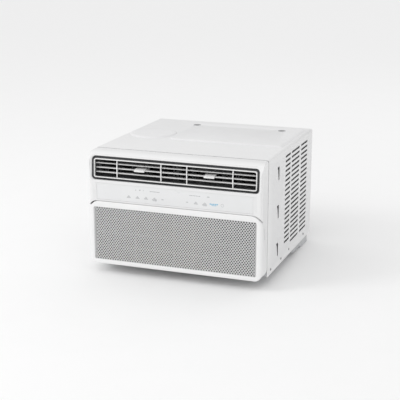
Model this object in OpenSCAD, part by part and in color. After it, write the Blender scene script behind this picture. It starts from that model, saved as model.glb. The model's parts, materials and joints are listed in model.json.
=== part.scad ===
// Window air conditioner: sheet metal cabinet, plastic front with a tilting intake grille,
// manual outlet vanes, and the complete cooling and air moving works inside.
// Modules are drawn with Y = 0 at the front of the grille and Z = 0 at the cabinet's lower
// edge; place() then moves them to the part's frame, centred and standing on the floor.

/* [Cabinet] */
// Width across the cabinet sides
cab_w = 560; // [556:1:564]
// Depth from the front of the grille to the rear edge
unit_d = 576; // [572:1:580]
// Height of the cabinet, lower edge to top sheet
cab_h = 362; // [361:1:366]
// Sheet metal thickness
sheet = 1.2; // [1:0.1:1.4]
// Radius of the folded top corners
fold_r = 7; // [5:1:10]
// Height of the stamped plateau and disc on the top
stamp_h = 5; // [4:1:6]
// How far the base pan hangs below the cabinet
pan_drop = 28; // [27:1:30]

/* [Side louvres and slots] */
// Height of one louvre slot
louvre_h = 6.6; // [5:0.2:8]
// Vertical pitch of the louvre slots
louvre_pitch = 15.4; // [15:0.1:15.6]
// Number of louvre rows
louvre_rows = 20; // [16:1:20]
// Height of one curtain frame slot
slot_h = 43; // [40:1:45]
// Width of one curtain frame slot
slot_w = 20; // [18:1:22]

/* [Front panel] */
// Depth of the plastic front panel
fascia_d = 62; // [60:1:64]
// Wall of the plastic mouldings
wall = 2.5; // [2:0.1:3]
// Height of the intake grille's top edge
grille_h = 207.4; // [205:0.2:208]
// Corner radius of the intake grille's top corners
grille_r = 34; // [24:1:36]

/* [Outlet] */
// Height of the outlet's centre
outlet_z = 309.5; // [309:0.1:310]
// Length of the outlet's dark surround
outlet_w = 543; // [540:1:546]
// Height of the outlet's dark surround
outlet_h = 79; // [78:1:80]
// Pitch of the three horizontal vanes
vane_pitch = 14.2; // [13.8:0.1:14.6]
// Depth of a horizontal vane, front to back
vane_chord = 14; // [12:1:14]
// Pitch of the upright deflector blades
blade_pitch = 48; // [44:1:48]

/* [Air moving works] */
// Sideways place of the fan shaft
fan_x = 70; // [66:1:74]
// Height of the fan shaft
fan_z = 162; // [160:1:164]
// Radius of the condenser fan's slinger ring
fan_r = 163; // [158:1:164]
// Radius of the fan shaft
shaft_r = 4; // [3.5:0.1:5]
// Number of blades of the blower wheel
wheel_blades = 36; // [24:1:40]

/* [Hidden] */
$fn = 48;

half_w = cab_w / 2;
gap = 0.3;              // clearance between pieces that move past each other
run = 0.05;             // radial clearance of a shaft or pin in its bore
deck_z = 3.5;           // upper face of the base pan's deck
pan_t = 1.5;            // base pan sheet
sump_z = pan_t - pan_drop;          // upper face of the sump's floor
bulk_y = 234;           // front face of the bulkhead
coil_y = 512;           // front face of the condenser coil
coil_d = 44;            // depth of the condenser coil
panel_w = cab_w - 1.4;  // width of the plastic front
louvre_z = 334;         // height of the top louvre row
louvre_cols = [[244, 304], [315.5, 412.5], [429.5, 511.5]];
slot_y = 166.5;         // depth of the curtain frame slots
slot_z = [56.5, 177.5, 298.5];
comp_at = [-193, 315];  // compressor's upright axis
disc_r = 78;            // stamped disc above the compressor
plateau = [[-112, 243], [269, 535]]; // stamped plateau's corners
foot_r = 23;            // radius of the front's lower corners
top_holes = [[-101, 483], [199, 481]];
dimple_d = 4;           // depth of the screw dimples in the top
pan_screws = [[211, 14.5], [483, 18]];
panel_screws = [[97, 15], [302.5, 18]];
vane_y = 19;            // pivot axis of the horizontal vanes
vane_t = 2.6;           // vane thickness
vane_pin_r = 1.5;
crank = 6;              // reach of the vane link's pins behind the pivot
rib_x = [-186, -41.5, 41.5, 186];
tab_x = 112;            // centre of each tab
fork_x = 14;            // the tab's fork, from the tab's centre
blade_y = 60;           // pivot axis of the upright blades
blade_arm = 20;         // pivot to the tab's fork
blade_reach = 22;       // pivot to the blade's front tip
link_arm = 12;          // pivot to the link bar's pins
link_z = outlet_z + 12.5;           // height of the link bars
blade_first = tab_x - fork_x - blade_pitch; // innermost blade
blade_z = [284.8, 334.2];
hinge_at = [19, 9];     // grille hinge, depth and height
grille_mid = 102.75;    // middle height of the perforated field
duct_z = [272, 352];
blower_y = [151.5, 231.5];
wheel_y = [158, 226];   // front and rear faces of the blower wheel
frame_back = 31;        // rear face of the outlet frame
profile_z = 300;        // height at which the front starts to lean back
profile_top = 361;      // upper edge of the plastic front
profile_n = 0.6;        // squareness of the front's upper curve
corner_r = 9;           // radius of the front's upright edges
foot_circle = 74;       // compressor foot circle radius
drain_at = [190, 420];  // drain hole in the sump

function wrap(p) = [p[0], p[1] - unit_d / 2, p[2] + pan_drop];

module place() translate(wrap([0, 0, 0])) children();

// Box between two corners
module span(a, b) translate(a) cube(b - a);

// The same shape on the left and on the right
module both() {
    children();
    mirror([1, 0, 0]) children();
}

// Round bar along X through [y, z], along Y through [x, z], and along Z through [x, y]
module rod_x(at, x0, x1, r)
    translate([x0, at[0], at[1]]) rotate([0, 90, 0]) cylinder(h = x1 - x0, r = r);
module rod_y(at, y0, y1, r)
    translate([at[0], y0, at[1]]) rotate([-90, 0, 0]) cylinder(h = y1 - y0, r = r);
module rod_z(at, z0, z1, r)
    translate([at[0], at[1], z0]) cylinder(h = z1 - z0, r = r);

// A flat [x, z] outline pushed along Y, and a flat [y, z] outline along X
module along_y(y0, y1)
    translate([0, y1, 0]) rotate([90, 0, 0]) linear_extrude(y1 - y0) children();
module along_x(x0, x1)
    translate([x0, 0, 0]) rotate([90, 0, 90]) linear_extrude(x1 - x0) children();

// Rectangle with four round corners, centred
module round_rect(w, h, r) {
    square([w - 2 * r, h], center = true);
    square([w, h - 2 * r], center = true);
    for (i = [-1, 1], j = [-1, 1])
        translate([i * (w / 2 - r), j * (h / 2 - r)]) circle(r);
}

// Rectangle on the X axis with its upper corners round; foot reaches below the axis
module arch(w, h, r, foot = 0) {
    translate([-w / 2, -foot]) square([w, h + foot - r]);
    translate([r - w / 2, -foot]) square([w - 2 * r, h + foot]);
    for (i = [-1, 1]) translate([i * (w / 2 - r), h - r]) circle(r);
}

// Slot with round ends along the first axis
module stadium(x0, x1, h) {
    translate([x0 + h / 2, -h / 2]) square([x1 - x0 - h, h]);
    for (x = [x0 + h / 2, x1 - h / 2]) translate([x, 0]) circle(h / 2);
}

// ---------------------------------------------------------------- cabinet and base

// Sump outline seen from above, with two lobes that reach the right side at the rear
module sump_outline(inset = 0) {
    offset(delta = -inset) offset(r = 9) offset(delta = -9) polygon([
        [-225, 115], [235, 115], [235, 372], [276, 372], [276, 561], [-276, 561],
        [-276, 415], [-112, 415], [-112, 228], [-225, 228]
    ]);
}

module base_pan() {
    lobe = [[233, 371], [277, 470]];
    color("lightgray") difference() {
        union() {
            span([-278, 66, deck_z - pan_t], [278, 573, deck_z]);
            for (s = [-1, 1]) translate([s * 277.75, 0, 0])
                span([-0.75, 66, deck_z - pan_t], [0.75, 573, 30]);
            span([-278, 571.5, deck_z - pan_t], [278, 573, 22]);
            span([-278, 66, deck_z - pan_t], [278, 67.5, 22]);
            translate([0, 0, -pan_drop]) linear_extrude(pan_drop + deck_z) sump_outline();
        }
        difference() {
            translate([0, 0, sump_z]) linear_extrude(pan_drop + deck_z) sump_outline(pan_t);
            span([lobe[0].x, lobe[0].y, sump_z], [lobe[1].x, lobe[1].y, sump_z + 10]);
        }
        span([236, 371, -pan_drop - 1], [277, 466, -18]);
        rod_z(drain_at, -pan_drop - 1, sump_z + 1, 9);
        for (p = concat(pan_screws, panel_screws))
            rod_x(p, -half_w, half_w, 2.1);
        for (a = feet()) rod_z(a, 0, deck_z + 1, 4.1);
    }
}

// The compressor's three feet
function feet() = [for (a = [90, 210, 330]) comp_at + foot_circle * [cos(a), sin(a)]];

module drain_plug() {
    color("dimgray") {
        rod_z(drain_at, -pan_drop, sump_z, 8.9);
        rod_z(drain_at, sump_z, sump_z + 3, 13);
    }
}

// Side openings, drawn as depth and height: louvre slots, curtain slots and screw holes
module side_openings() {
    for (c = [0 : 2], i = [0 : louvre_rows - 1 - (c == 0 ? 1 : 0)])
        translate([0, louvre_z - i * louvre_pitch])
            stadium(louvre_cols[c][0], louvre_cols[c][1], louvre_h);
    for (z = slot_z) translate([slot_y, z]) square([slot_w, slot_h], center = true);
    for (p = concat(pan_screws, panel_screws)) translate(p) circle(2.2);
}

// Stamped disc and plateau; grown by t for the outer skin
module stamping(t) {
    rise = stamp_h + t;
    translate([comp_at.x, comp_at.y, cab_h - sheet])
        cylinder(h = rise, r1 = disc_r + t, r2 = disc_r - stamp_h + t);
    hull() {
        span([plateau[0].x - t, plateau[0].y - t, cab_h - sheet - 0.01],
             [plateau[1].x + t, plateau[1].y + t, cab_h - sheet]);
        span([plateau[0].x + 4 - t, plateau[0].y + 4 - t, cab_h - sheet + rise - 0.01],
             [plateau[1].x - 9 + t, plateau[1].y - 4 + t, cab_h - sheet + rise]);
    }
}

module cabinet() {
    flange = 14;
    color("gainsboro") {
        difference() {
            union() {
                along_y(fascia_d, unit_d) arch(cab_w, cab_h, fold_r);
                stamping(sheet);
                span([-262, 86, cab_h - sheet], [262, 91, cab_h + 1]);
            }
            along_y(fascia_d - 1, unit_d - sheet)
                arch(cab_w - 2 * sheet, cab_h - sheet, fold_r - sheet, 1);
            difference() {
                stamping(0);
                for (h = top_holes) dimple(h, sheet);
            }
            for (h = top_holes) dimple(h, 0);
            along_y(unit_d - 3, unit_d + 1)
                arch(cab_w - 2 * flange, cab_h - flange, fold_r, 1);
            along_x(-half_w - 1, half_w + 1) side_openings();
            for (h = top_holes) rod_z(h, cab_h - 3, cab_h + stamp_h + 1, 2.2);
        }
        both() for (z = slot_z) slot_tongue(z);
    }
}

// Tongue of a curtain frame slot, pressed inwards towards its top
module slot_tongue(z) {
    low = z - slot_h / 2;
    translate([0, slot_y + slot_w / 2 - 4, 0]) rotate([90, 0, 0])
        linear_extrude(slot_w - 4) polygon([
            [half_w - sheet, low - 1], [half_w, low], [half_w, low + 0.5],
            [half_w - 6, low + 34], [half_w - 6 - sheet, low + 34],
            [half_w - sheet - 1, low - 1]
        ]);
}

// Round dimple in the stamped plateau for a screw head; grown by t for its outer skin
module dimple(at, t) {
    top = cab_h + stamp_h;
    translate([at.x, at.y, top - dimple_d - t])
        cylinder(h = dimple_d + t + 0.01, r1 = 6 + t, r2 = 10 + t);
}

module cabinet_screws() {
    color("silver") both() for (p = concat(pan_screws, panel_screws)) {
        rod_x(p, half_w, half_w + 1.6, 4.2);
        rod_x(p, half_w - 9, half_w, 2);
    }
}

module top_screws() {
    seat = cab_h + stamp_h - dimple_d;
    color("silver") for (h = top_holes) {
        rod_z(h, seat, seat + 2.4, 4.2);
        rod_z(h, seat - 16, seat, 2);
    }
}

// ---------------------------------------------------------------- plastic front

// Side view of the front, inset by t: flat below, curving back to the top edge
function front_profile(t) = concat(
    [[fascia_d + t, 3.5 + t], [3 + t, 3.5 + t], [t, 7 + t]],
    [for (a = [0 : 10 : 90]) [
        t + fascia_d * (1 - pow(cos(a), profile_n)),
        profile_z + (profile_top - profile_z - t) * pow(sin(a), profile_n)
    ]]
);

// Plan view of the front, inset by t, with round upright edges
module front_plan(t) {
    w = panel_w / 2 - t;
    translate([-w, t + corner_r]) square([2 * w, fascia_d + 1]);
    translate([corner_r - w, t]) square([2 * (w - corner_r), fascia_d]);
    for (s = [-1, 1]) translate([s * (w - corner_r), t + corner_r]) circle(corner_r);
}

// Solid form of the front, inset by t
module front_form(t = 0) {
    intersection() {
        along_x(-300, 300) polygon(front_profile(t));
        linear_extrude(400) front_plan(t);
        along_y(-2, 80) translate([0, 350]) mirror([0, 1])
            arch(panel_w - 2 * t, 346.5 - t, foot_r - t, 50);
    }
}

module front_fascia() {
    shelf_z = grille_h + 0.5;
    color("whitesmoke") difference() {
        union() {
            difference() {
                front_form();
                front_form(wall);
                front_plane_cut(shelf_z);
            }
            intersection() {
                front_form();
                union() {
                    difference() {
                        span([-300, 14.3, 3.5], [300, 14.3 + wall, shelf_z + wall]);
                        span([-262, 10, 12], [262, 20, 203]);
                    }
                    span([-300, 0, shelf_z], [300, 14.3 + wall, shelf_z + wall]);
                }
            }
            both() hinge_ear();
            for (x = [-150, 160], z = [222, 252]) rod_y([x, z], wall - 0.5, 6, 3);
        }
        translate([0, 0, outlet_z]) along_y(-5, 40)
            round_rect(outlet_w + 0.6, outlet_h + 0.6, 13.3);
        span([-252, -1, 212], [252, 1.6, 264]);
        both() hinge_notch();
        both() span([panel_w / 2 - 5, 28.8, 128], [panel_w / 2 + 1, 31.3, 162]);
        rod_x([45, 30], -panel_w / 2 - 1, -panel_w / 2 + 6, 7.05);
    }
}

// Room in the front for the intake grille
module front_plane_cut(top) {
    along_y(-2, 12.3) arch(panel_w + 8, top, grille_r, 10);
    span([-300, -2, -10], [300, 14.3, 16]);
}

// Ear with the hinge bore, and the notch that lets the grille's lug turn
module hinge_ear() {
    difference() {
        span([257.4, 16, 5], [261.4, 27, 16]);
        rod_x(hinge_at, 257, 262, 2 + run);
    }
    span([257.4, 14.3, 12], [264, 17, 16]);
}
module hinge_notch() {
    span([249, 14, 3], [257.3, 30, 15]);
}

module grille_frame() {
    color("white") {
        difference() {
            intersection() {
                front_form();
                along_y(-1, 12) arch(panel_w + 8, grille_h, grille_r);
            }
            intersection() {
                front_form(wall);
                along_y(wall, 13) arch(panel_w, grille_h - wall, grille_r - wall);
            }
            along_y(-2, wall + 1) translate([0, grille_mid]) round_rect(520, 169.5, 6);
        }
        both() {
            span([250, wall - 0.5, 6.2], [256.9, 22, 11.8]);
            rod_x(hinge_at, 256, 261.2, 2);
        }
    }
}

module grille_sheet() {
    color("lightgray") along_y(wall, wall + 1.2)
        translate([0, grille_mid]) round_rect(532, 181, 8);
}

module filter_frame() {
    y0 = wall + 1.2;
    color("white") difference() {
        span([-256, y0, 17], [256, y0 + 4.5, 198]);
        for (i = [0 : 3], j = [0 : 1])
            translate([-252 + i * 127, y0 - 1, 21 + j * 88]) cube([123, 7, 85]);
    }
}

module filter_mesh() {
    color("darkslategray") span([-254, wall + 5.7, 19], [254, wall + 6.5, 196]);
}

module control_overlay() {
    color("white") span([-251, 0.2, 213], [251, 1.6, 263]);
}

module control_board() {
    color("seagreen") difference() {
        span([-156, 6, 216], [166, 7.6, 258]);
        for (x = [-150, 160], z = [222, 252]) rod_y([x, z], 5, 9, 1.6);
    }
    color("dimgray") for (x = [-120, -90, -60, 60, 90, 120])
        span([x - 4, 7.6, 228], [x + 4, 12, 236]);
}

module cord_gland() {
    color("dimgray") difference() {
        union() {
            rod_x([45, 30], -half_w - 1.6, -panel_w / 2, 10);
            rod_x([45, 30], -panel_w / 2, -panel_w / 2 + 8, 7);
        }
        rod_x([45, 30], -half_w - 3, -panel_w / 2 + 9, 4.2);
    }
}

// ---------------------------------------------------------------- outlet

// Rounded ring that fills the outlet opening and follows the curve of the front, inset by t
module outlet_ring(t, w, h, r, w_in, h_in, r_in) {
    intersection() {
        front_form(t);
        translate([0, 0, outlet_z]) difference() {
            along_y(-5, frame_back) round_rect(w, h, r);
            along_y(-6, frame_back + 1) round_rect(w_in, h_in, r_in);
        }
    }
}

module outlet_bezel() {
    color("dimgray") outlet_ring(1, outlet_w, outlet_h, 13, 526.6, 62.2, 8);
}

module outlet_frame() {
    color("whitesmoke") difference() {
        union() {
            outlet_ring(0.6, 526, 61.6, 7.7, 517, 52.6, 5);
            for (x = rib_x)
                span([x - 2.1, 6.5, outlet_z - 27], [x + 2.1, 11.4, outlet_z + 27]);
        }
        for (i = [-1 : 1])
            rod_x([vane_y, outlet_z + i * vane_pitch], -270, 270, vane_pin_r + run);
    }
}

// One horizontal vane: a flat oval section with an end pin at each side, and near its
// left end a notch crossed by the pin that the vane link drives
module vane(z) {
    color("white") {
        difference() {
            along_x(-257.6, 257.6) translate([vane_y, z]) {
                square([vane_chord - vane_t, vane_t], center = true);
                for (s = [-1, 1]) translate([s * (vane_chord - vane_t) / 2, 0]) circle(vane_t / 2);
            }
            span([-251.2, vane_y + 2.2, z - 2], [-246.8, vane_y + 8, z + 2]);
        }
        rod_x([vane_y, z], -262.5, 262.5, vane_pin_r);
        rod_x([vane_y + crank, z], -252, -246, 0.8);
    }
}

// Upright bar that makes the three vanes tilt together
module vane_link() {
    y0 = vane_y + crank;
    color("lightgray") difference() {
        span([-250.2, y0 - 3, outlet_z - vane_pitch - 3],
             [-247.8, y0 + 3, outlet_z + vane_pitch + 3]);
        for (i = [-1 : 1])
            span([-252, y0 - 1.8, outlet_z + i * vane_pitch - 1.05],
                 [-247, y0 + 1.2, outlet_z + i * vane_pitch + 1.05]);
    }
}

// Finger tab that clips over the middle vane and steers one group of blades
module tab(s) {
    clear = vane_t / 2 + gap;
    color("white") translate([s * tab_x, 0, outlet_z]) {
        along_x(-16.5, 16.5) polygon([
            [1.2, -3.4], [vane_y - 7.6, -2.6], [vane_y - 7.6, clear], [vane_y + 7.6, clear],
            [vane_y + 7.6, clear + 1.5], [9, clear + 2.2], [1.2, -0.4]
        ]);
        for (f = [-1, 1]) translate([s * fork_x + f * 4.3, 0, 0])
            span([-1, vane_y + 7.4, -3], [1, vane_y + 26, clear + 1.5]);
        span([s * fork_x - 5.3, vane_y + 7.4, clear - 0.4],
             [s * fork_x + 5.3, vane_y + 9.4, clear + 1.5]);
    }
}

// One upright deflector blade: pivot pins above and below, and a window crossed by the
// pin that the link bar drives
module blade(x) {
    color("dimgray") {
        difference() {
            span([x - 1, blade_y - blade_reach, blade_z[0]], [x + 1, blade_y + 6, blade_z[1]]);
            span([x - 2, blade_y - 17.8, link_z - 3], [x + 2, blade_y - 7.2, link_z + 3]);
        }
        rod_z([x, blade_y], blade_z[0] - 3, blade_z[1] + 3, 1.5);
        rod_z([x, blade_y], blade_z[0], blade_z[1], 2.2);
        rod_z([x, blade_y - link_arm], link_z - 3.5, link_z + 3.5, 1);
    }
}
function blade_place(s, i) = s * (blade_first + (i - 1) * blade_pitch);

// Bar that joins the four blades of one side, with a slot round each blade's pin
module link_bar(s) {
    y0 = blade_y - link_arm;
    x0 = blade_first - 7;
    x1 = blade_first + 3 * blade_pitch + 7;
    color("gray") difference() {
        span([s > 0 ? x0 : -x1, y0 - 2.5, link_z - 1], [s > 0 ? x1 : -x0, y0 + 4.5, link_z + 1]);
        for (i = [1 : 4])
            span([blade_place(s, i) - 1.4, y0 - 1.3, link_z - 2],
                 [blade_place(s, i) + 1.4, y0 + 3, link_z + 2]);
    }
}

module deflector_base() {
    color("dimgray") {
        difference() {
            union() {
                span([-256, blade_y - 6, blade_z[1] + gap], [256, blade_y + 8, blade_z[1] + 4]);
                span([-256, blade_y - 6, blade_z[0] - 4], [256, blade_y + 8, blade_z[0] - gap]);
            }
            for (s = [-1, 1], i = [1 : 4])
                rod_z([blade_place(s, i), blade_y], 270, 345, 1.5 + run);
        }
        both() span([5.6, blade_y - 12, blade_z[0] - 4], [7.4, blade_y + 8, blade_z[1] + 4]);
        span([-6, blade_y + 2, outlet_z + 4], [6, blade_y + 4, outlet_z + 12]);
        both() span([254.2, blade_y - 6, blade_z[0] - 4], [256, blade_y + 8, blade_z[1] + 4]);
    }
}

// ---------------------------------------------------------------- indoor side

module air_duct() {
    back = bulk_y - 3.5;
    color("white") difference() {
        span([-264, frame_back, duct_z[0]], [264, back + 3, duct_z[1]]);
        span([-257, frame_back - 1, blade_z[0] - 4], [257, back, duct_z[1] - 9]);
        span([fan_x - 60, blower_y[0] + 1, duct_z[0] - 1], [fan_x + 108, back, blade_z[0]]);
    }
}

// Outline of the blower's scroll, grown by t: the wall runs away from the wheel as it
// turns towards the outlet, whose upper end is at the height top above the shaft
module scroll_outline(t, top) {
    steps = 36;
    translate([fan_x, fan_z]) polygon(concat(
        [for (i = [0 : steps]) let (a = 200 + 218 * i / steps, r = 100 + t + 16 * i / steps)
            [-r * cos(a), r * sin(a)]],
        [[-62 - t, top], [108 + t, top], [108 + t, -20 - t], [96 + t, -20 - t]]
    ));
}

module blower_housing() {
    top = duct_z[0] - fan_z;
    color("ghostwhite") difference() {
        along_y(blower_y[0] - wall, blower_y[1] + wall) scroll_outline(wall, top);
        along_y(blower_y[0], blower_y[1]) scroll_outline(0, top + 5);
        rod_y([fan_x, fan_z], blower_y[0] - 5, blower_y[0] + 1, 80);
        rod_y([fan_x, fan_z], blower_y[1] - 1, blower_y[1] + 5, 12);
    }
}

module bulkhead() {
    color("silver") difference() {
        union() {
            span([-270, bulk_y, deck_z], [270, bulk_y + sheet, 352]);
            span([-108, bulk_y, sump_z], [222, bulk_y + sheet, deck_z]);
            span([-270, bulk_y, 350], [270, bulk_y + 14, 350 + sheet]);
        }
        rod_y([fan_x, fan_z], bulk_y - 1, bulk_y + 3, 14);
        rod_y([-205, 40], bulk_y - 1, bulk_y + 3, 7);
        rod_y([-225, 62], bulk_y - 1, bulk_y + 3, 4);
    }
}

// Coil face with its two sheet metal end plates and row of fins
module coil(x0, x1, y0, y1, z0, z1) {
    pitch = 8;
    span([x0, y0 + 2, z0 + 2], [x1, y1 - 2, z1 - 2]);
    for (x = [x0 - 1.5, x1]) span([x, y0, z0], [x + 1.5, y1, z1]);
    for (i = [1 : floor((x1 - x0) / pitch) - 1])
        span([x0 + i * pitch, y0 + 0.5, z0 + 0.5], [x0 + i * pitch + 1, y1 - 0.5, z1 - 0.5]);
}

// Return bends standing on a coil's end plate
module return_bends(x, y, z0, z1, side) {
    pitch = 24;
    for (z = [z0 + 16 : 2 * pitch : z1 - 40]) translate([x, y, z + pitch / 2])
        rotate([90, 0, side > 0 ? 0 : 180])
            intersection() {
                rotate_extrude() translate([pitch / 2, 0]) circle(4, $fn = 24);
                translate([0, -20, -5]) cube([40, 40, 10]);
            }
}

module evaporator_coil() {
    color("silver") coil(-246, 246, 76, 112, 9, 262);
}
module evaporator_tubes() {
    color("peru") {
        return_bends(247.5, 94, 9, 262, 1);
        return_bends(-247.5, 94, 9, 262, -1);
    }
}

module evaporator_tray() {
    color("ghostwhite") difference() {
        span([-266, 69, deck_z], [266, 132, 26]);
        span([-261, 74, 9], [261, 127, 27]);
    }
}

module room_sensor() {
    color("dimgray") {
        span([150, 70.5, 200], [158, 76.5, 204]);
        rod_y([154, 207], 66, 72, 3);
        span([152, 70.5, 200], [156, 72, 209]);
    }
}

// ---------------------------------------------------------------- outdoor side

module fan_motor() {
    color("silver") difference() {
        union() {
            rod_y([fan_x, fan_z], 306, 384, 60);
            rod_y([fan_x, fan_z], 298, 306, 22);
            rod_y([fan_x, fan_z], 384, 392, 22);
            for (a = [0 : 20 : 340]) translate([fan_x, 0, fan_z]) rotate([0, a, 0])
                span([58, 316, -1], [63, 374, 1]);
        }
        rod_y([fan_x, fan_z], 290, 400, shaft_r + run);
    }
}

module motor_bracket() {
    color("gray") {
        difference() {
            rod_y([fan_x, fan_z], 334, 356, 67.5);
            rod_y([fan_x, fan_z], 333, 357, 63.4);
            span([fan_x - 80, 330, fan_z], [fan_x + 80, 360, fan_z + 90]);
        }
        for (s = [-1, 1])
            span([fan_x + s * 66 - 2, 334, sump_z], [fan_x + s * 66 + 2, 356, fan_z]);
        span([fan_x - 78, 326, sump_z], [fan_x + 78, 364, sump_z + 2.5]);
    }
}

module motor_shaft() {
    color("silver") rod_y([fan_x, fan_z], wheel_y[1] - 23, 500, shaft_r);
}

module blower_wheel() {
    y0 = wheel_y[0];
    y1 = wheel_y[1];
    color("dimgray") translate([fan_x, 0, fan_z]) {
        difference() {
            union() {
                rod_y([0, 0], y1 - 2.5, y1, 92);
                rod_y([0, 0], y1 - 24, y1, 13);
            }
            rod_y([0, 0], y1 - 30, y1 + 1, shaft_r + run);
        }
        difference() {
            rod_y([0, 0], y0, y0 + 3, 92);
            rod_y([0, 0], y0 - 1, y0 + 4, 76);
        }
        for (i = [0 : wheel_blades - 1]) rotate([0, i * 360 / wheel_blades, 0])
            translate([77, 0, 0]) rotate([0, -32, 0]) span([0, y0 + 1, -0.6], [14, y1 - 1, 0.6]);
    }
}

module condenser_fan() {
    color("dimgray") translate([fan_x, 0, fan_z]) {
        difference() {
            union() {
                rod_y([0, 0], 456, 486, 30);
                intersection() {
                    for (i = [0 : 4]) rotate([0, i * 72, 0]) fan_blade();
                    rod_y([0, 0], 450, 492, fan_r - 1.5);
                }
            }
            rod_y([0, 0], 450, 492, shaft_r + run);
        }
        difference() {
            rod_y([0, 0], 478, 490, fan_r);
            rod_y([0, 0], 470, 500, fan_r - 3);
        }
    }
}

// Flat paddle of the condenser fan
module fan_blade() {
    translate([0, 471, 0]) rotate([24, 0, 0]) span([20, -1.3, -34], [fan_r, 1.3, 34]);
}

module fan_shroud() {
    y0 = 474;
    color("gray") difference() {
        span([-256, y0, sump_z], [256, coil_y, 351]);
        span([-253, y0 + 3, sump_z + 3], [253, coil_y + 1, 348]);
        rod_y([fan_x, fan_z], y0 - 1, y0 + 4, fan_r + 5);
        span([fan_x - 150, y0 - 1, sump_z - 1], [fan_x + 150, coil_y + 1, sump_z + 4]);
        for (h = top_holes) rod_z(h, 345, 355, 2.1);
    }
}

module condenser_coil() {
    color("silver") coil(-256, 256, coil_y, coil_y + coil_d, sump_z, 350);
}
module condenser_tubes() {
    color("peru") {
        return_bends(257.5, coil_y + coil_d / 2, 30, 350, 1);
        return_bends(-257.5, coil_y + coil_d / 2, 30, 350, -1);
    }
}

module compressor() {
    foot_z = deck_z + 12;
    color("#303234") translate([comp_at.x, comp_at.y, 0]) {
        translate([0, 0, foot_z + 3]) cylinder(h = 210, r = 56);
        translate([0, 0, foot_z + 213]) cylinder(h = 16, r1 = 56, r2 = 34);
        translate([0, 0, foot_z + 229]) cylinder(h = 8, r = 14);
        translate([0, 0, foot_z + 120]) cylinder(h = 8, r = 57.5);
    }
    color("#303234") difference() {
        union() {
            rod_z(comp_at, foot_z, foot_z + 3, 58);
            for (f = feet()) rod_z(f, foot_z, foot_z + 3, 18);
        }
        for (f = feet()) rod_z(f, foot_z - 1, foot_z + 4, 7.05);
    }
}

module compressor_grommets() {
    color("dimgray") for (f = feet()) difference() {
        union() {
            rod_z(f, deck_z, deck_z + 12, 11);
            rod_z(f, deck_z + 12, deck_z + 15, 7);
            rod_z(f, deck_z + 15, deck_z + 19, 10);
        }
        rod_z(f, deck_z - 1, deck_z + 20, 4.05);
    }
}

module compressor_bolts() {
    color("silver") for (f = feet()) {
        rod_z(f, deck_z - pan_t - 1, deck_z + 27, 4);
        rod_z(f, deck_z + 19, deck_z + 21, 9);
        translate([f.x, f.y, deck_z + 21]) cylinder(h = 5, r = 7, $fn = 6);
        rod_z(f, deck_z - pan_t - 3, deck_z - pan_t, 8);
    }
}

module accumulator() {
    color("#303234") {
        rod_z([-112, 290], 70, 190, 22);
        translate([-112, 290, 190]) cylinder(h = 12, r1 = 22, r2 = 6);
        translate([-112, 290, 58]) cylinder(h = 12, r1 = 6, r2 = 22);
        span([-140, 286, 120], [-128, 294, 132]);
    }
}

// Tube through a list of points, with round elbows
module pipe(points, r) {
    for (i = [0 : len(points) - 2]) {
        d = points[i + 1] - points[i];
        translate(points[i])
            rotate([0, acos(d.z / norm(d)), atan2(d.y, d.x)]) cylinder(h = norm(d), r = r);
    }
    for (i = [1 : len(points) - 2]) translate(points[i]) sphere(r + 0.1);
}

module suction_line() {
    color("peru") pipe([
        [-112, 290, 202], [-112, 290, 232], [-112, 247, 232], [-112, 247, 40],
        [-205, 247, 40], [-205, 112.2, 40]
    ], 6);
}
module discharge_line() {
    color("peru") pipe([
        [-193, 315, 252.5], [-193, 315, 280], [-193, 420, 280], [-230, 420, 280],
        [-230, 420, 20], [-265.5, 420, 20], [-265.5, 534, 20], [-257.7, 534, 20]
    ], 4);
}
module capillary_tube() {
    color("peru") pipe([
        [-90, 430, 46], [-90, 430, 62], [-90, 256.5, 62], [-225, 256.5, 62], [-225, 112.2, 62]
    ], 1.6);
}
module filter_drier() {
    color("peru") {
        rod_z([-90, 430], 0, 40, 9);
        translate([-90, 430, 40]) cylinder(h = 6, r1 = 9, r2 = 2.5);
        pipe([
            [-90, 430, 1], [-90, 430, -14], [-264, 430, -14], [-264, 534, -14],
            [-257.7, 534, -14]
        ], 2.5);
    }
}

module electrical_box() {
    color("lightgray") {
        difference() {
            span([150, 244, 170], [262, 330, 320]);
            span([152, 246, 172], [260, 331, 318]);
        }
        for (x = [160, 252], z = [182, 308]) rod_y([x, z], 245, 252, 3);
    }
}
module electrical_cover() {
    color("silver") difference() {
        span([149, 330, 169], [263, 331.5, 321]);
        for (i = [0 : 7]) span([170, 329, 190 + i * 14], [242, 333, 195 + i * 14]);
    }
}
module main_board() {
    color("seagreen") span([154, 252, 176], [258, 253.6, 314]);
    color("dimgray") {
        for (z = [186, 212]) span([164, 253.6, z], [184, 270, z + 18]);
        span([200, 253.6, 186], [250, 278, 216]);
    }
}
module run_capacitor() {
    color("silver") {
        rod_y([184, 285], 254, 318, 20);
        rod_y([184, 285], 318, 321, 17);
        for (s = [-1, 1]) span([184 + s * 7 - 1, 321, 281], [184 + s * 7 + 1, 327, 289]);
    }
}

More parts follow.
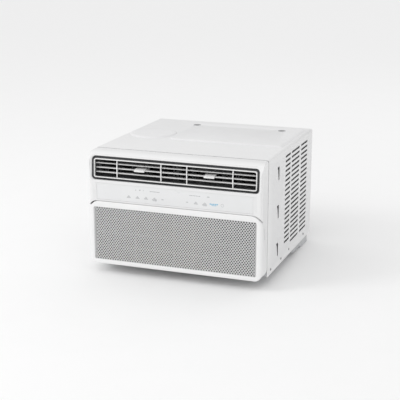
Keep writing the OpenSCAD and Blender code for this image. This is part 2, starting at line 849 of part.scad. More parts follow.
place() base_pan();
place() drain_plug();
place() cabinet();
place() cabinet_screws();
place() top_screws();
place() front_fascia();
place() control_overlay();
place() control_board();
place() outlet_bezel();
place() outlet_frame();
place() deflector_base();
place() air_duct();
place() blower_housing();
place() bulkhead();
place() evaporator_coil();
place() evaporator_tubes();
place() evaporator_tray();
place() room_sensor();
place() fan_motor();
place() motor_bracket();
place() fan_shroud();
place() condenser_coil();
place() condenser_tubes();
place() compressor();
place() accumulator();
place() compressor_grommets();
place() compressor_bolts();
place() suction_line();
place() discharge_line();
place() capillary_tube();
place() filter_drier();
place() electrical_box();
place() electrical_cover();
place() main_board();
place() run_capacitor();
place() cord_gland();
place() motor_shaft();
place() blower_wheel();
place() condenser_fan();
place() grille_frame();
place() grille_sheet();
place() filter_frame();
place() filter_mesh();
place() vane(outlet_z + vane_pitch);  // vane_upper
place() vane(outlet_z);  // vane_middle
place() vane(outlet_z - vane_pitch);  // vane_lower
place() vane_link();
place() tab(-1);  // tab_left
place() tab(1);  // tab_right
place() link_bar(-1);  // link_left
place() link_bar(1);  // link_right
place() blade(blade_place(-1, 1));  // blade_left_1
place() blade(blade_place(-1, 2));  // blade_left_2
place() blade(blade_place(-1, 3));  // blade_left_3
place() blade(blade_place(-1, 4));  // blade_left_4
place() blade(blade_place(1, 1));  // blade_right_1
place() blade(blade_place(1, 2));  // blade_right_2
place() blade(blade_place(1, 3));  // blade_right_3
place() blade(blade_place(1, 4));  // blade_right_4
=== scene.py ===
import json
import math

import bmesh
import bpy
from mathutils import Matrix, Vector

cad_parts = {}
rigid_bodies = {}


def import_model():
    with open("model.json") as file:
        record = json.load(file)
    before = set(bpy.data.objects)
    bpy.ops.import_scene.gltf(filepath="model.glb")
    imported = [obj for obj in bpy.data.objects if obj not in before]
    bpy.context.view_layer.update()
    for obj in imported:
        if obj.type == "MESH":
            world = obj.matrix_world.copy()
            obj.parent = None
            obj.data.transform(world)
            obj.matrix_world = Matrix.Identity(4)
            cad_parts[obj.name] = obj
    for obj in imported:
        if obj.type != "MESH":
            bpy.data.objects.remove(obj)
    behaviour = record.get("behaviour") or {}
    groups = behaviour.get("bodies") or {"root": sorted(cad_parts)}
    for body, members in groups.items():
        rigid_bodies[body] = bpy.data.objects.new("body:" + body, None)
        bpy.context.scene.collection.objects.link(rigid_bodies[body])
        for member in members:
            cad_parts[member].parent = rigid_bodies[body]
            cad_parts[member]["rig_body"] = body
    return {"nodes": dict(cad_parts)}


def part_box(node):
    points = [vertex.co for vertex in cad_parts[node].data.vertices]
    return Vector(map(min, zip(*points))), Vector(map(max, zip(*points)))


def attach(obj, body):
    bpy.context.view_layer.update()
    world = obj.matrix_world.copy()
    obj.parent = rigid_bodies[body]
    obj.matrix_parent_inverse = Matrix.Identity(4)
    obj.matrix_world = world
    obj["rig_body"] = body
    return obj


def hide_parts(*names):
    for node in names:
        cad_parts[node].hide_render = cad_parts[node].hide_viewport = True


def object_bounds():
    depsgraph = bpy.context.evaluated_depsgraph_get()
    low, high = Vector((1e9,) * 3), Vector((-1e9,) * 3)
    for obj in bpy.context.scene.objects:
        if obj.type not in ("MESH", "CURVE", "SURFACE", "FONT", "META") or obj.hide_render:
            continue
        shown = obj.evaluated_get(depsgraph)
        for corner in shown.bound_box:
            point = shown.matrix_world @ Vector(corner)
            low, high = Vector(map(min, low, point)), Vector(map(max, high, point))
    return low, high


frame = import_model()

cad_box = [list(c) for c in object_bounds()]

# Sizes below are millimetres in the maker's drawing: X to the right, Y back from the front
# of the grille, Z up from the cabinet's lower edge. P() turns them into the row frame.
Y0 = 1000 * cad_box[0][1]
Z0 = 1000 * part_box("cabinet")[0].z


def P(x, y, z):
    return Vector((x, y + Y0, z + Z0)) * 0.001


def middle(node, axis):
    """The middle of a CAD node along "x", "y" or "z", in the drawing's millimetres."""
    lo, hi = drawn_box(node)
    return (getattr(lo, axis) + getattr(hi, axis)) / 2


def drawn_box(node):
    """A CAD node's low and high corner in the drawing's millimetres."""
    lo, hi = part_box(node)
    return [Vector((1000 * c.x, 1000 * c.y - Y0, 1000 * c.z - Z0)) for c in (lo, hi)]


LID_HOLES = ((-101.0, 483.0), (199.0, 481.0))   # screws of the lid, in its two dimples
COMPRESSOR = (-193.0, 315.0)                    # the compressor's axis, seen from above
ACCUMULATOR = (-112.0, 290.0)
DRIER = (-90.0, 430.0)
FINGER_X = 112.0                                # tab centres either side of the middle
VANE_PITCH = 14.2
RIB_X = (-186.0, -41.5, 41.5, 186.0)            # ribs of the outlet frame

# ------------------------------------------------------------------ materials

def surface(name, colour, rough, metallic=0.0, vary=0.05, blotch=9.0, grain=1400.0,
            bump=0.12, spread=0.08, stretch=(1, 1, 1), wear=None, coat=0.0, specular=0.5,
            weave=None):
    """A procedural finish: broad colour drift, fine grain in bump and roughness, worn edges."""
    m = bpy.data.materials.new(name)
    m.use_nodes = True
    nt = m.node_tree
    N, L = nt.nodes, nt.links
    p = N["Principled BSDF"]
    p.inputs["Metallic"].default_value = metallic
    p.inputs["Coat Weight"].default_value = coat
    p.inputs["Specular IOR Level"].default_value = specular
    tc = N.new("ShaderNodeTexCoord")
    mp = N.new("ShaderNodeMapping")
    mp.inputs["Scale"].default_value = stretch
    L.new(tc.outputs["Object"], mp.inputs["Vector"])

    def noise(scale, detail, roughness=0.55):
        n = N.new("ShaderNodeTexNoise")
        n.inputs["Scale"].default_value = scale
        n.inputs["Detail"].default_value = detail
        n.inputs["Roughness"].default_value = roughness
        L.new(mp.outputs["Vector"], n.inputs["Vector"])
        return n

    broad, fine = noise(blotch, 4), noise(grain, 3)
    ramp = N.new("ShaderNodeValToRGB")
    ramp.color_ramp.elements[0].position = 0.3
    ramp.color_ramp.elements[1].position = 0.7
    ramp.color_ramp.elements[0].color = [c * (1 - vary) for c in colour] + [1]
    ramp.color_ramp.elements[1].color = [min(1, c * (1 + 0.5 * vary)) for c in colour] + [1]
    L.new(broad.outputs["Fac"], ramp.inputs["Fac"])
    last = ramp.outputs["Color"]
    speck = N.new("ShaderNodeMixRGB")
    speck.blend_type = "MULTIPLY"
    speck.inputs["Fac"].default_value = min(1, vary * 1.5)
    L.new(last, speck.inputs["Color1"])
    L.new(fine.outputs["Fac"], speck.inputs["Color2"])
    last = speck.outputs["Color"]
    if wear:
        geo = N.new("ShaderNodeNewGeometry")
        edge = N.new("ShaderNodeValToRGB")
        edge.color_ramp.elements[0].position = 0.52
        edge.color_ramp.elements[1].position = 0.62
        L.new(geo.outputs["Pointiness"], edge.inputs["Fac"])
        mix = N.new("ShaderNodeMixRGB")
        mix.inputs["Color2"].default_value = list(wear) + [1]
        L.new(edge.outputs["Color"], mix.inputs["Fac"])
        L.new(last, mix.inputs["Color1"])
        last = mix.outputs["Color"]
    L.new(last, p.inputs["Base Color"])
    span = N.new("ShaderNodeMapRange")
    span.inputs["To Min"].default_value = max(0.03, rough - spread)
    span.inputs["To Max"].default_value = min(1, rough + spread)
    mid = noise(grain / 22, 5, 0.6)
    L.new(mid.outputs["Fac"], span.inputs["Value"])
    L.new(span.outputs["Result"], p.inputs["Roughness"])
    height = fine.outputs["Fac"]
    if weave:
        wave = N.new("ShaderNodeTexWave")
        wave.inputs["Scale"].default_value = weave
        wave.inputs["Distortion"].default_value = 0.4
        L.new(mp.outputs["Vector"], wave.inputs["Vector"])
        add = N.new("ShaderNodeMath")
        add.operation = "ADD"
        L.new(height, add.inputs[0])
        L.new(wave.outputs["Fac"], add.inputs[1])
        height = add.outputs["Value"]
    b = N.new("ShaderNodeBump")
    b.inputs["Strength"].default_value = bump
    b.inputs["Distance"].default_value = 0.0004
    L.new(height, b.inputs["Height"])
    L.new(b.outputs["Normal"], p.inputs["Normal"])
    return m


M = {
    "paint": surface("cabinet_enamel", (0.79, 0.79, 0.795), 0.42, vary=0.025, grain=900,
                     bump=0.10, wear=(0.84, 0.84, 0.84)),
    # shade: a darker grey that paints in the shade inside the louvre slits and the lid dimples;
    # painted shade, the real hoods carry the cabinet's enamel
    "shade": surface("painted_shade_enamel", (0.33, 0.33, 0.335), 0.5, vary=0.05, grain=900,
                     bump=0.12),
    "galvanised": surface("galvanised_pan", (0.62, 0.63, 0.64), 0.45, 0.55, vary=0.10,
                          blotch=60, grain=500, bump=0.10),
    "front": surface("front_moulding", (0.78, 0.78, 0.782), 0.40, vary=0.02, grain=1600,
                     bump=0.10, wear=(0.88, 0.88, 0.88)),
    "grille": surface("grille_moulding", (0.87, 0.87, 0.87), 0.38, vary=0.02, grain=1700,
                      bump=0.09),
    "panel": surface("control_film", (0.78, 0.785, 0.79), 0.30, vary=0.02, grain=700,
                     bump=0.03, coat=0.1),
    "ink": surface("printed_grey", (0.36, 0.37, 0.38), 0.5, vary=0.10, grain=2500, bump=0.05),
    "ink_blue": surface("printed_blue", (0.16, 0.50, 0.72), 0.5, vary=0.10, grain=2500,
                        bump=0.05),
    "perforated": surface("perforated_sheet", (0.64, 0.64, 0.64), 0.40, vary=0.03, grain=1200,
                          bump=0.06),
    "dark": surface("dark_surround", (0.045, 0.047, 0.05), 0.42, vary=0.12, grain=1500,
                    bump=0.12, wear=(0.10, 0.10, 0.105)),
    "white": surface("outlet_white", (0.86, 0.86, 0.855), 0.36, vary=0.025, grain=1600,
                     bump=0.08),
    "inner": surface("inner_grey", (0.075, 0.077, 0.08), 0.55, vary=0.15, grain=1300,
                     bump=0.15),
    "black": surface("black_moulding", (0.022, 0.022, 0.024), 0.48, vary=0.2, grain=1300,
                     bump=0.15),
    "duct_lining": surface("duct_lining", (0.16, 0.16, 0.165), 0.75, vary=0.12, blotch=30,
                           grain=260, bump=0.4),
    "housing": surface("housing_plastic", (0.70, 0.70, 0.69), 0.5, vary=0.04, grain=900,
                       bump=0.15),
    "zinc": surface("zinc_sheet", (0.60, 0.61, 0.62), 0.38, 0.8, vary=0.14, blotch=45,
                    grain=600, bump=0.08),
    "fins": surface("coil_fins", (0.66, 0.67, 0.68), 0.42, 0.85, vary=0.12, blotch=40,
                    grain=300, bump=0.10),
    "copper": surface("copper_tube", (0.72, 0.36, 0.21), 0.30, 0.95, vary=0.16, blotch=35,
                      grain=500, bump=0.06, wear=(0.80, 0.45, 0.28)),
    "motor": surface("motor_enamel", (0.30, 0.31, 0.33), 0.42, 0.2, vary=0.10, blotch=30,
                     grain=800, bump=0.15, wear=(0.42, 0.42, 0.43)),
    "enamel": surface("compressor_enamel", (0.018, 0.018, 0.02), 0.30, 0.1, vary=0.25,
                      blotch=25, grain=420, bump=0.20, wear=(0.07, 0.07, 0.07), coat=0.2),
    "rubber": surface("rubber", (0.02, 0.02, 0.02), 0.75, vary=0.3, grain=700, bump=0.25),
    "lagging": surface("foam_lagging", (0.035, 0.035, 0.037), 0.9, vary=0.3, blotch=80,
                       grain=330, bump=0.6),
    "steel": surface("shaft_steel", (0.58, 0.58, 0.60), 0.25, 1.0, vary=0.06, grain=900,
                     bump=0.05, stretch=(1, 0.05, 1)),
    "screw": surface("plated_screw", (0.24, 0.24, 0.25), 0.32, 0.9, vary=0.10, blotch=300,
                     grain=1500, bump=0.05, wear=(0.42, 0.42, 0.43)),
    "board": surface("circuit_board", (0.025, 0.16, 0.075), 0.35, vary=0.25, blotch=260,
                     grain=900, bump=0.1, coat=0.3),
    "can": surface("capacitor_can", (0.72, 0.72, 0.73), 0.25, 0.95, vary=0.06, grain=900,
                   bump=0.04, stretch=(1, 0.1, 1)),
    "net": surface("filter_net", (0.020, 0.021, 0.023), 0.8, vary=0.25, blotch=60, grain=900,
                   bump=0.5, weave=900),
    "braze": surface("braze_joint", (0.50, 0.40, 0.22), 0.45, 0.8, vary=0.25, blotch=200,
                     grain=700, bump=0.3),
}

# ------------------------------------------------------------------ mesh helpers

def loft(bm, rings, cyclic=True, closed=False, caps=False):
    """Joins rings of points, all of one length. closed joins the last ring to the first."""
    rows = [[bm.verts.new(P(*q)) for q in ring] for ring in rings]
    n = len(rows[0])
    pairs = list(zip(rows, rows[1:])) + ([(rows[-1], rows[0])] if closed else [])
    for a, b in pairs:
        for i in range(n if cyclic else n - 1):
            j = (i + 1) % n
            quad = [a[i], a[j], b[j], b[i]]
            if len(set(quad)) > 2:
                bm.faces.new(quad)
    if caps:
        bm.faces.new(rows[0])
        bm.faces.new(rows[-1])
    return rows


def prism(bm, outline, axis, a, b):
    """A flat outline pushed from a to b along an axis: x takes (y, z), y (x, z), z (x, y)."""
    def at(u, v, w):
        return {"x": (w, u, v), "y": (u, w, v), "z": (u, v, w)}[axis]
    loft(bm, [[at(u, v, a) for u, v in outline], [at(u, v, b) for u, v in outline]], caps=True)


def brick(bm, lo, hi):
    prism(bm, [(lo[0], lo[1]), (hi[0], lo[1]), (hi[0], hi[1]), (lo[0], hi[1])], "z",
          lo[2], hi[2])


def soft_brick(bm, lo, hi, r, steps=2):
    """A box with rounded edges on every side, as three stacked rounded rectangles."""
    cx, cz = (lo[0] + hi[0]) / 2, (lo[2] + hi[2]) / 2
    w, h = hi[0] - lo[0], hi[2] - lo[2]
    rings = []
    for side in (0, 1):
        for k in range(steps + 1):
            t = k / steps if side == 0 else 1 - k / steps
            a = t * math.pi / 2
            inset = r * (1 - math.sin(a))
            depth = r * (1 - math.cos(a))
            y = lo[1] + depth if side == 0 else hi[1] - depth
            rings.append(rounded(cx, cz, w - 2 * inset, h - 2 * inset, max(0.05, r - inset + 0.1),
                                 2, lambda x, z, y=y: y))
    loft(bm, rings, caps=True)


def rounded(cx, cz, w, h, r, n=6, y=lambda x, z: 0.0, corners=None):
    """Points round a rectangle in the XZ plane; corners gives bottom and top radii apart."""
    rb, rt = corners or (r, r)
    pts = []
    for sx, sz, rad, start in ((1, -1, rb, -90), (1, 1, rt, 0), (-1, 1, rt, 90),
                               (-1, -1, rb, 180)):
        for k in range(n + 1):
            a = math.radians(start + 90 * k / n)
            x = cx + sx * (w / 2 - rad) + rad * math.cos(a)
            z = cz + sz * (h / 2 - rad) + rad * math.sin(a)
            pts.append((x, y(x, z), z))
    return pts


def circle(cx, cy, r, n, axis="y", at=0.0, phase=0.0):
    pts = []
    for k in range(n):
        a = 2 * math.pi * k / n + phase
        u, v = cx + r * math.cos(a), cy + r * math.sin(a)
        pts.append({"x": (at, u, v), "y": (u, at, v), "z": (u, v, at)}[axis])
    return pts


def lathe(bm, profile, centre, axis, n=48, closed=False):
    """A round piece: profile is (radius, place along the axis)."""
    loft(bm, [circle(centre[0], centre[1], max(r, 0.01), n, axis, h) for r, h in profile],
         closed=closed, caps=not closed)


def tube(bm, path, r, n=12, bend=None):
    """A round tube through points, its corners turned on a bend radius."""
    pts = [Vector(p) for p in path]
    bend = bend or 2.6 * r
    line = [pts[0]]
    for a, b, c in zip(pts, pts[1:], pts[2:]):
        u, v = (a - b), (c - b)
        half = u.angle(v) / 2
        t = min(bend / math.tan(half), u.length * 0.48, v.length * 0.48)
        p0, p2 = b + u.normalized() * t, b + v.normalized() * t
        for k in range(7):
            s = k / 6
            line.append(p0 * (1 - s) ** 2 + b * 2 * s * (1 - s) + p2 * s ** 2)
    line.append(pts[-1])
    up = Vector((0.31, 0.17, 0.93))
    rings = []
    for i, q in enumerate(line):
        d = (line[min(i + 1, len(line) - 1)] - line[max(i - 1, 0)]).normalized()
        side = d.cross(up).normalized() if i == 0 else (side - d * side.dot(d)).normalized()
        other = d.cross(side)
        rings.append([tuple(q + side * r * math.cos(2 * math.pi * k / n)
                            + other * r * math.sin(2 * math.pi * k / n)) for k in range(n)])
    loft(bm, rings, caps=True)


def piece(name, bm, mat, body, replaces=(), angle=32, bevel=0.0):
    """Makes the object, with smooth faces split at sharp edges, and hangs it on its body."""
    bmesh.ops.recalc_face_normals(bm, faces=bm.faces)
    me = bpy.data.meshes.new(name)
    bm.to_mesh(me)
    bm.free()
    for f in me.polygons:
        f.use_smooth = True
    me.set_sharp_from_angle(angle=math.radians(angle))
    me.materials.append(M[mat])
    ob = bpy.data.objects.new(name, me)
    bpy.context.scene.collection.objects.link(ob)
    if bevel:
        mod = ob.modifiers.new("edge", "BEVEL")
        mod.width = bevel / 1000
        mod.segments = 2
        mod.limit_method = "ANGLE"
        mod.angle_limit = math.radians(35)
        mod.harden_normals = True
    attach(ob, body)
    if replaces:
        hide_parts(*replaces)
    return ob


def cut(ob, bm, mode="DIFFERENCE", angle=32):
    """Takes a cutter's volume out of a piece and keeps the result as its mesh."""
    bmesh.ops.recalc_face_normals(bm, faces=bm.faces)
    me = bpy.data.meshes.new("cutter")
    bm.to_mesh(me)
    bm.free()
    tool = bpy.data.objects.new("cutter", me)
    bpy.context.scene.collection.objects.link(tool)
    mod = ob.modifiers.new("cut", "BOOLEAN")
    mod.operation = mode
    mod.solver = "EXACT"
    mod.object = tool
    mod.use_self = True
    bpy.context.view_layer.update()
    out = bpy.data.meshes.new_from_object(ob.evaluated_get(bpy.context.evaluated_depsgraph_get()))
    ob.modifiers.clear()
    mats = list(ob.data.materials)
    ob.data = out
    if not out.materials:
        for m in mats:
            out.materials.append(m)
    bpy.data.objects.remove(tool)
    for f in out.polygons:
        f.use_smooth = True
    out.set_sharp_from_angle(angle=math.radians(angle))
    return ob


# ------------------------------------------------------------------ plastic front

PANEL = drawn_box("front_fascia")[1].x          # half width of the front
TOP = drawn_box("front_fascia")[1].z            # top edge of the front
DEPTH = drawn_box("front_fascia")[1].y          # its depth
LEAN, SQUARE = 300.0, 0.6                       # where the front starts to lean back


def front_y(z):
    """Depth of the front's surface at a height."""
    if z <= LEAN:
        return 0.0
    s = min(1.0, ((z - LEAN) / (TOP - LEAN)) ** (1 / SQUARE))
    return DEPTH * (1 - (1 - s * s) ** (SQUARE / 2))


def front_solid(t, deep):
    """The front's form, inset by t, pushed back to a depth."""
    side = [(deep, 3.5 + t), (3.5 + t, 3.5 + t), (1 + t, 5 + t), (t, 8 + t)]
    side += [(t + DEPTH * (1 - math.cos(a) ** SQUARE),
              LEAN + (TOP - LEAN - t) * math.sin(a) ** SQUARE)
             for a in [math.pi / 2 * k / 28 for k in range(28)]]
    side += [(min(deep, DEPTH + t), TOP - t)]
    if deep > DEPTH + t:
        side.append((deep, TOP - t))
    w, r = PANEL - t, 9.0
    plan = [(w, deep + 5), (w, t + r)]
    plan += [(w - r + r * math.cos(a), t + r - r * math.sin(a))
             for a in [math.pi / 2 * k / 8 for k in range(1, 9)]]
    plan += [(-x, y) for x, y in reversed(plan)]
    face = rounded(0, (3.5 + TOP) / 2, 2 * w, TOP - 3.5 - 2 * t, 8, 6, corners=(23.0, 7.0))
    out = []
    for pts, axis, a, b in ((side, "x", -300, 300), (plan, "z", -20, 420),
                            ([(p[0], p[2]) for p in face], "y", -20, deep + 1)):
        bm = bmesh.new()
        prism(bm, pts, axis, a, b)
        out.append(bm)
    return out


def outlet_ring(name, mat, steps, replaces=()):
    """A rounded rectangular ring that follows the leaning front. steps is its section: half
    width, half height, corner radius and depth behind the front; None is the flat back."""
    bm = bmesh.new()
    loft(bm, [rounded(0, OUT_Z, 2 * w, 2 * h, r, 7,
                      lambda x, z, d=d: FRAME_BACK if d is None else front_y(z) + d)
              for w, h, r, d in steps], closed=True)
    return piece(name, bm, mat, "chassis", replaces)


OUT_Z = middle("outlet_bezel", "z")
FRAME_BACK = drawn_box("outlet_frame")[1].y
GRILLE = drawn_box("grille_frame")
SHELF = GRILLE[1].z + 0.5

SHELL_REAR, WALL = 59.6, 2.5                    # the front's rear edge and its wall
FILM = (-251.3, 212.7, 251.3, 263.3)            # recess of the control film: x0, z0, x1, z1

# front shell: hollow, open at the back, with the intake below and the outlet above
a, b, c = front_solid(0.0, SHELL_REAR)
shell = piece("front_shell", a, "front", "chassis", ["front_fascia"])
cut(shell, b, "INTERSECT")
cut(shell, c, "INTERSECT")
a, b, c = front_solid(WALL, 70.0)
core = piece("front_core", a, "front", "chassis")
cut(core, b, "INTERSECT")
cut(core, c, "INTERSECT")
mod = shell.modifiers.new("hollow", "BOOLEAN")
mod.operation, mod.solver, mod.object = "DIFFERENCE", "EXACT", core
bpy.context.view_layer.update()
hollow = bpy.data.meshes.new_from_object(
    shell.evaluated_get(bpy.context.evaluated_depsgraph_get()))
shell.modifiers.clear()
shell.data = hollow
bpy.data.objects.remove(core)
room = bmesh.new()
prism(room, [(p[0], p[2]) for p in
             rounded(0, (SHELF - 20) / 2, 2 * PANEL + 8, SHELF + 20, 34, 8,
                     corners=(1.0, 34.0))], "y", -5, 12.3)
brick(room, (-300, -4, -12), (300, 14.3, 16))
prism(room, [(p[0], p[2]) for p in
             rounded(0, OUT_Z, 549, 85, 16, 8)], "y", -4, 45)
for s in (-1, 1):
    brick(room, (s * (PANEL - WALL) - 3, 28.9, 128), (s * (PANEL - WALL) + 3, 31.2, 162))
    brick(room, (s * 253.2 - 4.2, 13.5, 2), (s * 253.2 + 4.2, 30, 15))
lathe(room, [(7.05, -PANEL - 3), (7.05, -PANEL + 8)], (45, 30), "x", 24)
brick(room, (FILM[0], -4, FILM[1]), (FILM[2], 1.65, FILM[3]))
cut(shell, room)

# rolled edge of the opening, the dark recessed surround and the pale frame inside it
outlet_ring("outlet_rim", "front", [
    (274.6, 42.6, 16.2, 9.0), (274.6, 42.6, 16.2, 0.35), (273.9, 41.9, 15.4, 0.35),
    (271.6, 39.6, 13.8, 1.0), (269.7, 37.7, 12.2, 2.2), (268.7, 36.7, 11.2, 3.6),
    (268.4, 36.4, 11.0, 5.2), (268.4, 36.4, 11.0, 9.0)])
outlet_ring("outlet_surround", "dark", [
    (271.4, 39.4, 13.0, 28.0), (271.4, 39.4, 13.0, 10.2), (268.2, 36.2, 11.0, 10.0),
    (268.2, 36.2, 11.0, 5.2), (267.7, 35.7, 10.6, 4.6), (267.0, 35.0, 10.0, 4.9),
    (265.6, 33.6, 9.2, 8.2), (264.0, 32.0, 8.2, 9.4), (262.4, 30.4, 7.2, 9.0),
    (261.5, 29.5, 6.6, 8.6), (261.5, 29.5, 6.6, 28.0)], ["outlet_bezel"])
outlet_ring("outlet_frame_lip", "white", [
    (261.2, 29.2, 6.4, 8.0), (261.2, 29.2, 6.4, 3.2), (260.8, 28.8, 6.1, 2.3),
    (260.2, 28.2, 5.8, 1.9), (259.4, 27.4, 5.4, 1.9), (258.8, 26.8, 5.0, 2.4),
    (258.5, 26.5, 4.8, 3.4), (258.5, 26.5, 4.8, 8.0)], ["outlet_frame"])
liner = outlet_ring("outlet_frame_liner", "inner", [
    (262.9, 30.7, 7.4, None), (262.9, 30.7, 7.4, 28.6), (261.2, 29.2, 6.4, 28.4),
    (261.2, 29.2, 6.4, 8.1), (258.6, 26.6, 4.8, 8.1), (258.6, 26.6, 4.8, None)],
    ["outlet_frame"])
VANE_Y = middle("vane_middle", "y")
holes = bmesh.new()
for k in (-1, 0, 1):
    z = middle("vane_middle", "z") + k * VANE_PITCH
    lathe(holes, [(1.55, -270), (1.55, 270)], (VANE_Y, z), "x", 20)
cut(liner, holes)

bm = bmesh.new()
for x in RIB_X:
    rows = []
    for k in range(13):
        z = OUT_Z - 27 + 54 * k / 12
        y = 8.7 - 0.6 * math.sin(math.pi * k / 12) + front_y(z) * 0.5
        rows.append([(x - 1.6, y + 2.5, z), (x - 1.6, y + 0.9, z), (x - 1.1, y + 0.25, z),
                     (x, y, z), (x + 1.1, y + 0.25, z), (x + 1.6, y + 0.9, z),
                     (x + 1.6, y + 2.5, z)])
    loft(bm, rows, caps=True)
piece("outlet_ribs", bm, "white", "chassis")
bm = bmesh.new()
for x in (-6.5, 6.5):
    brick(bm, (x - 1.2, 28.4, OUT_Z - 26.8), (x + 1.2, 31.0, OUT_Z + 26.8))
piece("outlet_posts", bm, "inner", "chassis")

# ------------------------------------------------------------------ vanes, tabs, blades

for node in ("vane_upper", "vane_middle", "vane_lower"):
    z = middle(node, "z")
    half = 7.0
    section = []
    for k in range(20):
        a = 2 * math.pi * k / 20
        u, v = math.cos(a), math.sin(a)
        section.append((VANE_Y + (half - 1.3) * (1 if u > 0 else -1) * abs(u) ** 0.45
                        + 1.3 * u, z + 1.3 * (1 if v > 0 else -1) * abs(v) ** 0.8))
    bm = bmesh.new()
    ends = []
    for x, s in ((-257.6, 0.80), (-257.1, 0.96), (-256.2, 1.0), (256.2, 1.0), (257.1, 0.96),
                 (257.6, 0.80)):
        ends.append([(x, VANE_Y + (y - VANE_Y) * (0.97 if s < 1 else 1),
                      z + (w - z) * s) for y, w in section])
    loft(bm, ends, caps=True)
    vane = piece(node + "_blade", bm, "white", node, [node])
    notch = bmesh.new()
    brick(notch, (-251.2, VANE_Y + 2.2, z - 2), (-246.8, VANE_Y + 8, z + 2))
    cut(vane, notch)
    bm = bmesh.new()
    for s in (-1, 1):
        lathe(bm, [(1.5, s * 257), (1.5, s * 260.3), (1.1, s * 260.7)], (VANE_Y, z), "x", 20)
    lathe(bm, [(0.8, -252), (0.8, -246)], (VANE_Y + 6, z), "x", 16)
    piece(node + "_pins", bm, "white", node)

for side, s in (("left", -1), ("right", 1)):
    fork_end = drawn_box("tab_" + side)[1].y
    z = OUT_Z
    x = s * FINGER_X
    bm = bmesh.new()
    clear = 1.6
    prof = [(7.2, -3.0), (7.6, -3.5), (8.4, -3.8), (10.8, -2.9), (11.4, -2.3), (11.4, clear),
            (26.6, clear), (33.0, 3.4), (33.4, 4.4), (33.0, 5.4), (27.0, 4.9), (20.0, 4.0),
            (12.0, 2.6), (8.0, 0.9), (7.2, -0.2)]
    rows = []
    for w, k in ((-16.5, 0.86), (-16.1, 0.95), (-15.3, 1.0), (15.3, 1.0), (16.1, 0.95),
                 (16.5, 0.86)):
        rows.append([(x + w, 20 + (y - 20) * (0.985 if k < 1 else 1),
                      z + v * (k if v < clear - 0.01 else 1)) for y, v in prof])
    loft(bm, rows, caps=True)
    for k in range(5):
        soft_brick(bm, (x - 12 + k * 5.4, 9.0, z + 0.8), (x - 9.6 + k * 5.4, 10.4, z + 2.5),
                   0.25)
    f = x - s * 14
    for j in (-1, 1):
        soft_brick(bm, (f + j * 4.3 - 1, VANE_Y + 7.4, z - 3), (f + j * 4.3 + 1, fork_end, z + 3.0),
                   0.4)
    brick(bm, (f - 5.2, VANE_Y + 7.4, z + clear - 0.4), (f + 5.2, VANE_Y + 9.2, z + clear + 1.2))
    piece("tab_%s_grip" % side, bm, "white", "tab_" + side, ["tab_" + side])


def refine(node, mat, bevel, name, angle=32):
    """A CAD node's own shape with its flat faces made whole and its edges eased."""
    src = frame["nodes"][node]
    bm = bmesh.new()
    bm.from_mesh(src.data)
    bmesh.ops.remove_doubles(bm, verts=bm.verts, dist=1e-6)
    bmesh.ops.dissolve_limit(bm, angle_limit=math.radians(0.6), verts=bm.verts,
                             edges=bm.edges)
    piece(name, bm, mat, src["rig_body"], [node], angle=angle, bevel=bevel)


for side in ("left", "right"):
    for i in range(1, 5):
        node = "blade_%s_%d" % (side, i)
        refine(node, "inner", 0.25, node + "_vane")
    refine("link_" + side, "inner", 0.2, "link_%s_bar" % side)
refine("vane_link", "inner", 0.2, "vane_link_bar")
refine("deflector_base", "inner", 0.4, "deflector_rails")

# ------------------------------------------------------------------ grille

gx, gz0, gz1 = GRILLE[1].x, GRILLE[0].z, GRILLE[1].z
gc, gh = (gz0 + gz1) / 2, gz1 - gz0
sheet = drawn_box("grille_sheet")
field_c = (sheet[0].z + sheet[1].z) / 2


def grille_ring(dx, dz, y, rt=34.0, rb=23.0):
    return rounded(0, gc, 2 * (gx - dx), gh - 2 * dz, 0, 9, lambda x, z: y,
                   corners=(max(rb - dx, 1), max(rt - dx, 1)))


def field_ring(g, y, r=6.0):
    return rounded(0, field_c, 527 + 2 * g, 169.5 + 2 * g, r + g, 9, lambda x, z: y)


bm = bmesh.new()
rings = [grille_ring(0.0, 0.0, 12.0), grille_ring(0.0, 0.0, 8.2)]
for k in range(1, 8):
    t = math.pi / 2 * k / 7
    rings.append(grille_ring(7.5 * (1 - math.cos(t)), 4.2 * (1 - math.cos(t)),
                             8.2 * (1 - math.sin(t))))
rings += [grille_ring(12, 8, 0.0), field_ring(2.2, 0.0), field_ring(1.0, 0.18),
          field_ring(0.25, 0.8), field_ring(0.0, 1.6), field_ring(0.0, 2.5),
          field_ring(8.0, 2.5), grille_ring(5.0, 4.5, 3.0), grille_ring(2.5, 2.5, 6.0),
          grille_ring(2.5, 2.5, 12.0)]
loft(bm, rings, closed=True)
for s in (-1, 1):
    prism(bm, [(2.6, 6.4), (16, 6.4)] + [(19 + 2.8 * math.sin(t), 9 - 2.8 * math.cos(t))
               for t in [math.pi * k / 10 for k in range(11)]] + [(2.6, 11.8)], "x",
          s * 250, s * 256.9)
    lathe(bm, [(2.0, s * 256), (2.0, s * 260.8), (1.6, s * 261.2)], (19, 9), "x", 24)
piece("grille_moulding", bm, "grille", "grille", ["grille_frame"])

# perforated sheet: staggered rows of round holes, each cell its own ring of faces
PX, PZ, HOLE, SEG = 8.36, 5.39, 2.52, 12
ROWS, COLS = 31, 63
bm = bmesh.new()
weld = {}


def knot(x, y, z):
    key = (round(x * 50), round(y * 50), round(z * 50))
    if key not in weld:
        weld[key] = bm.verts.new(P(x, y, z))
    return weld[key]


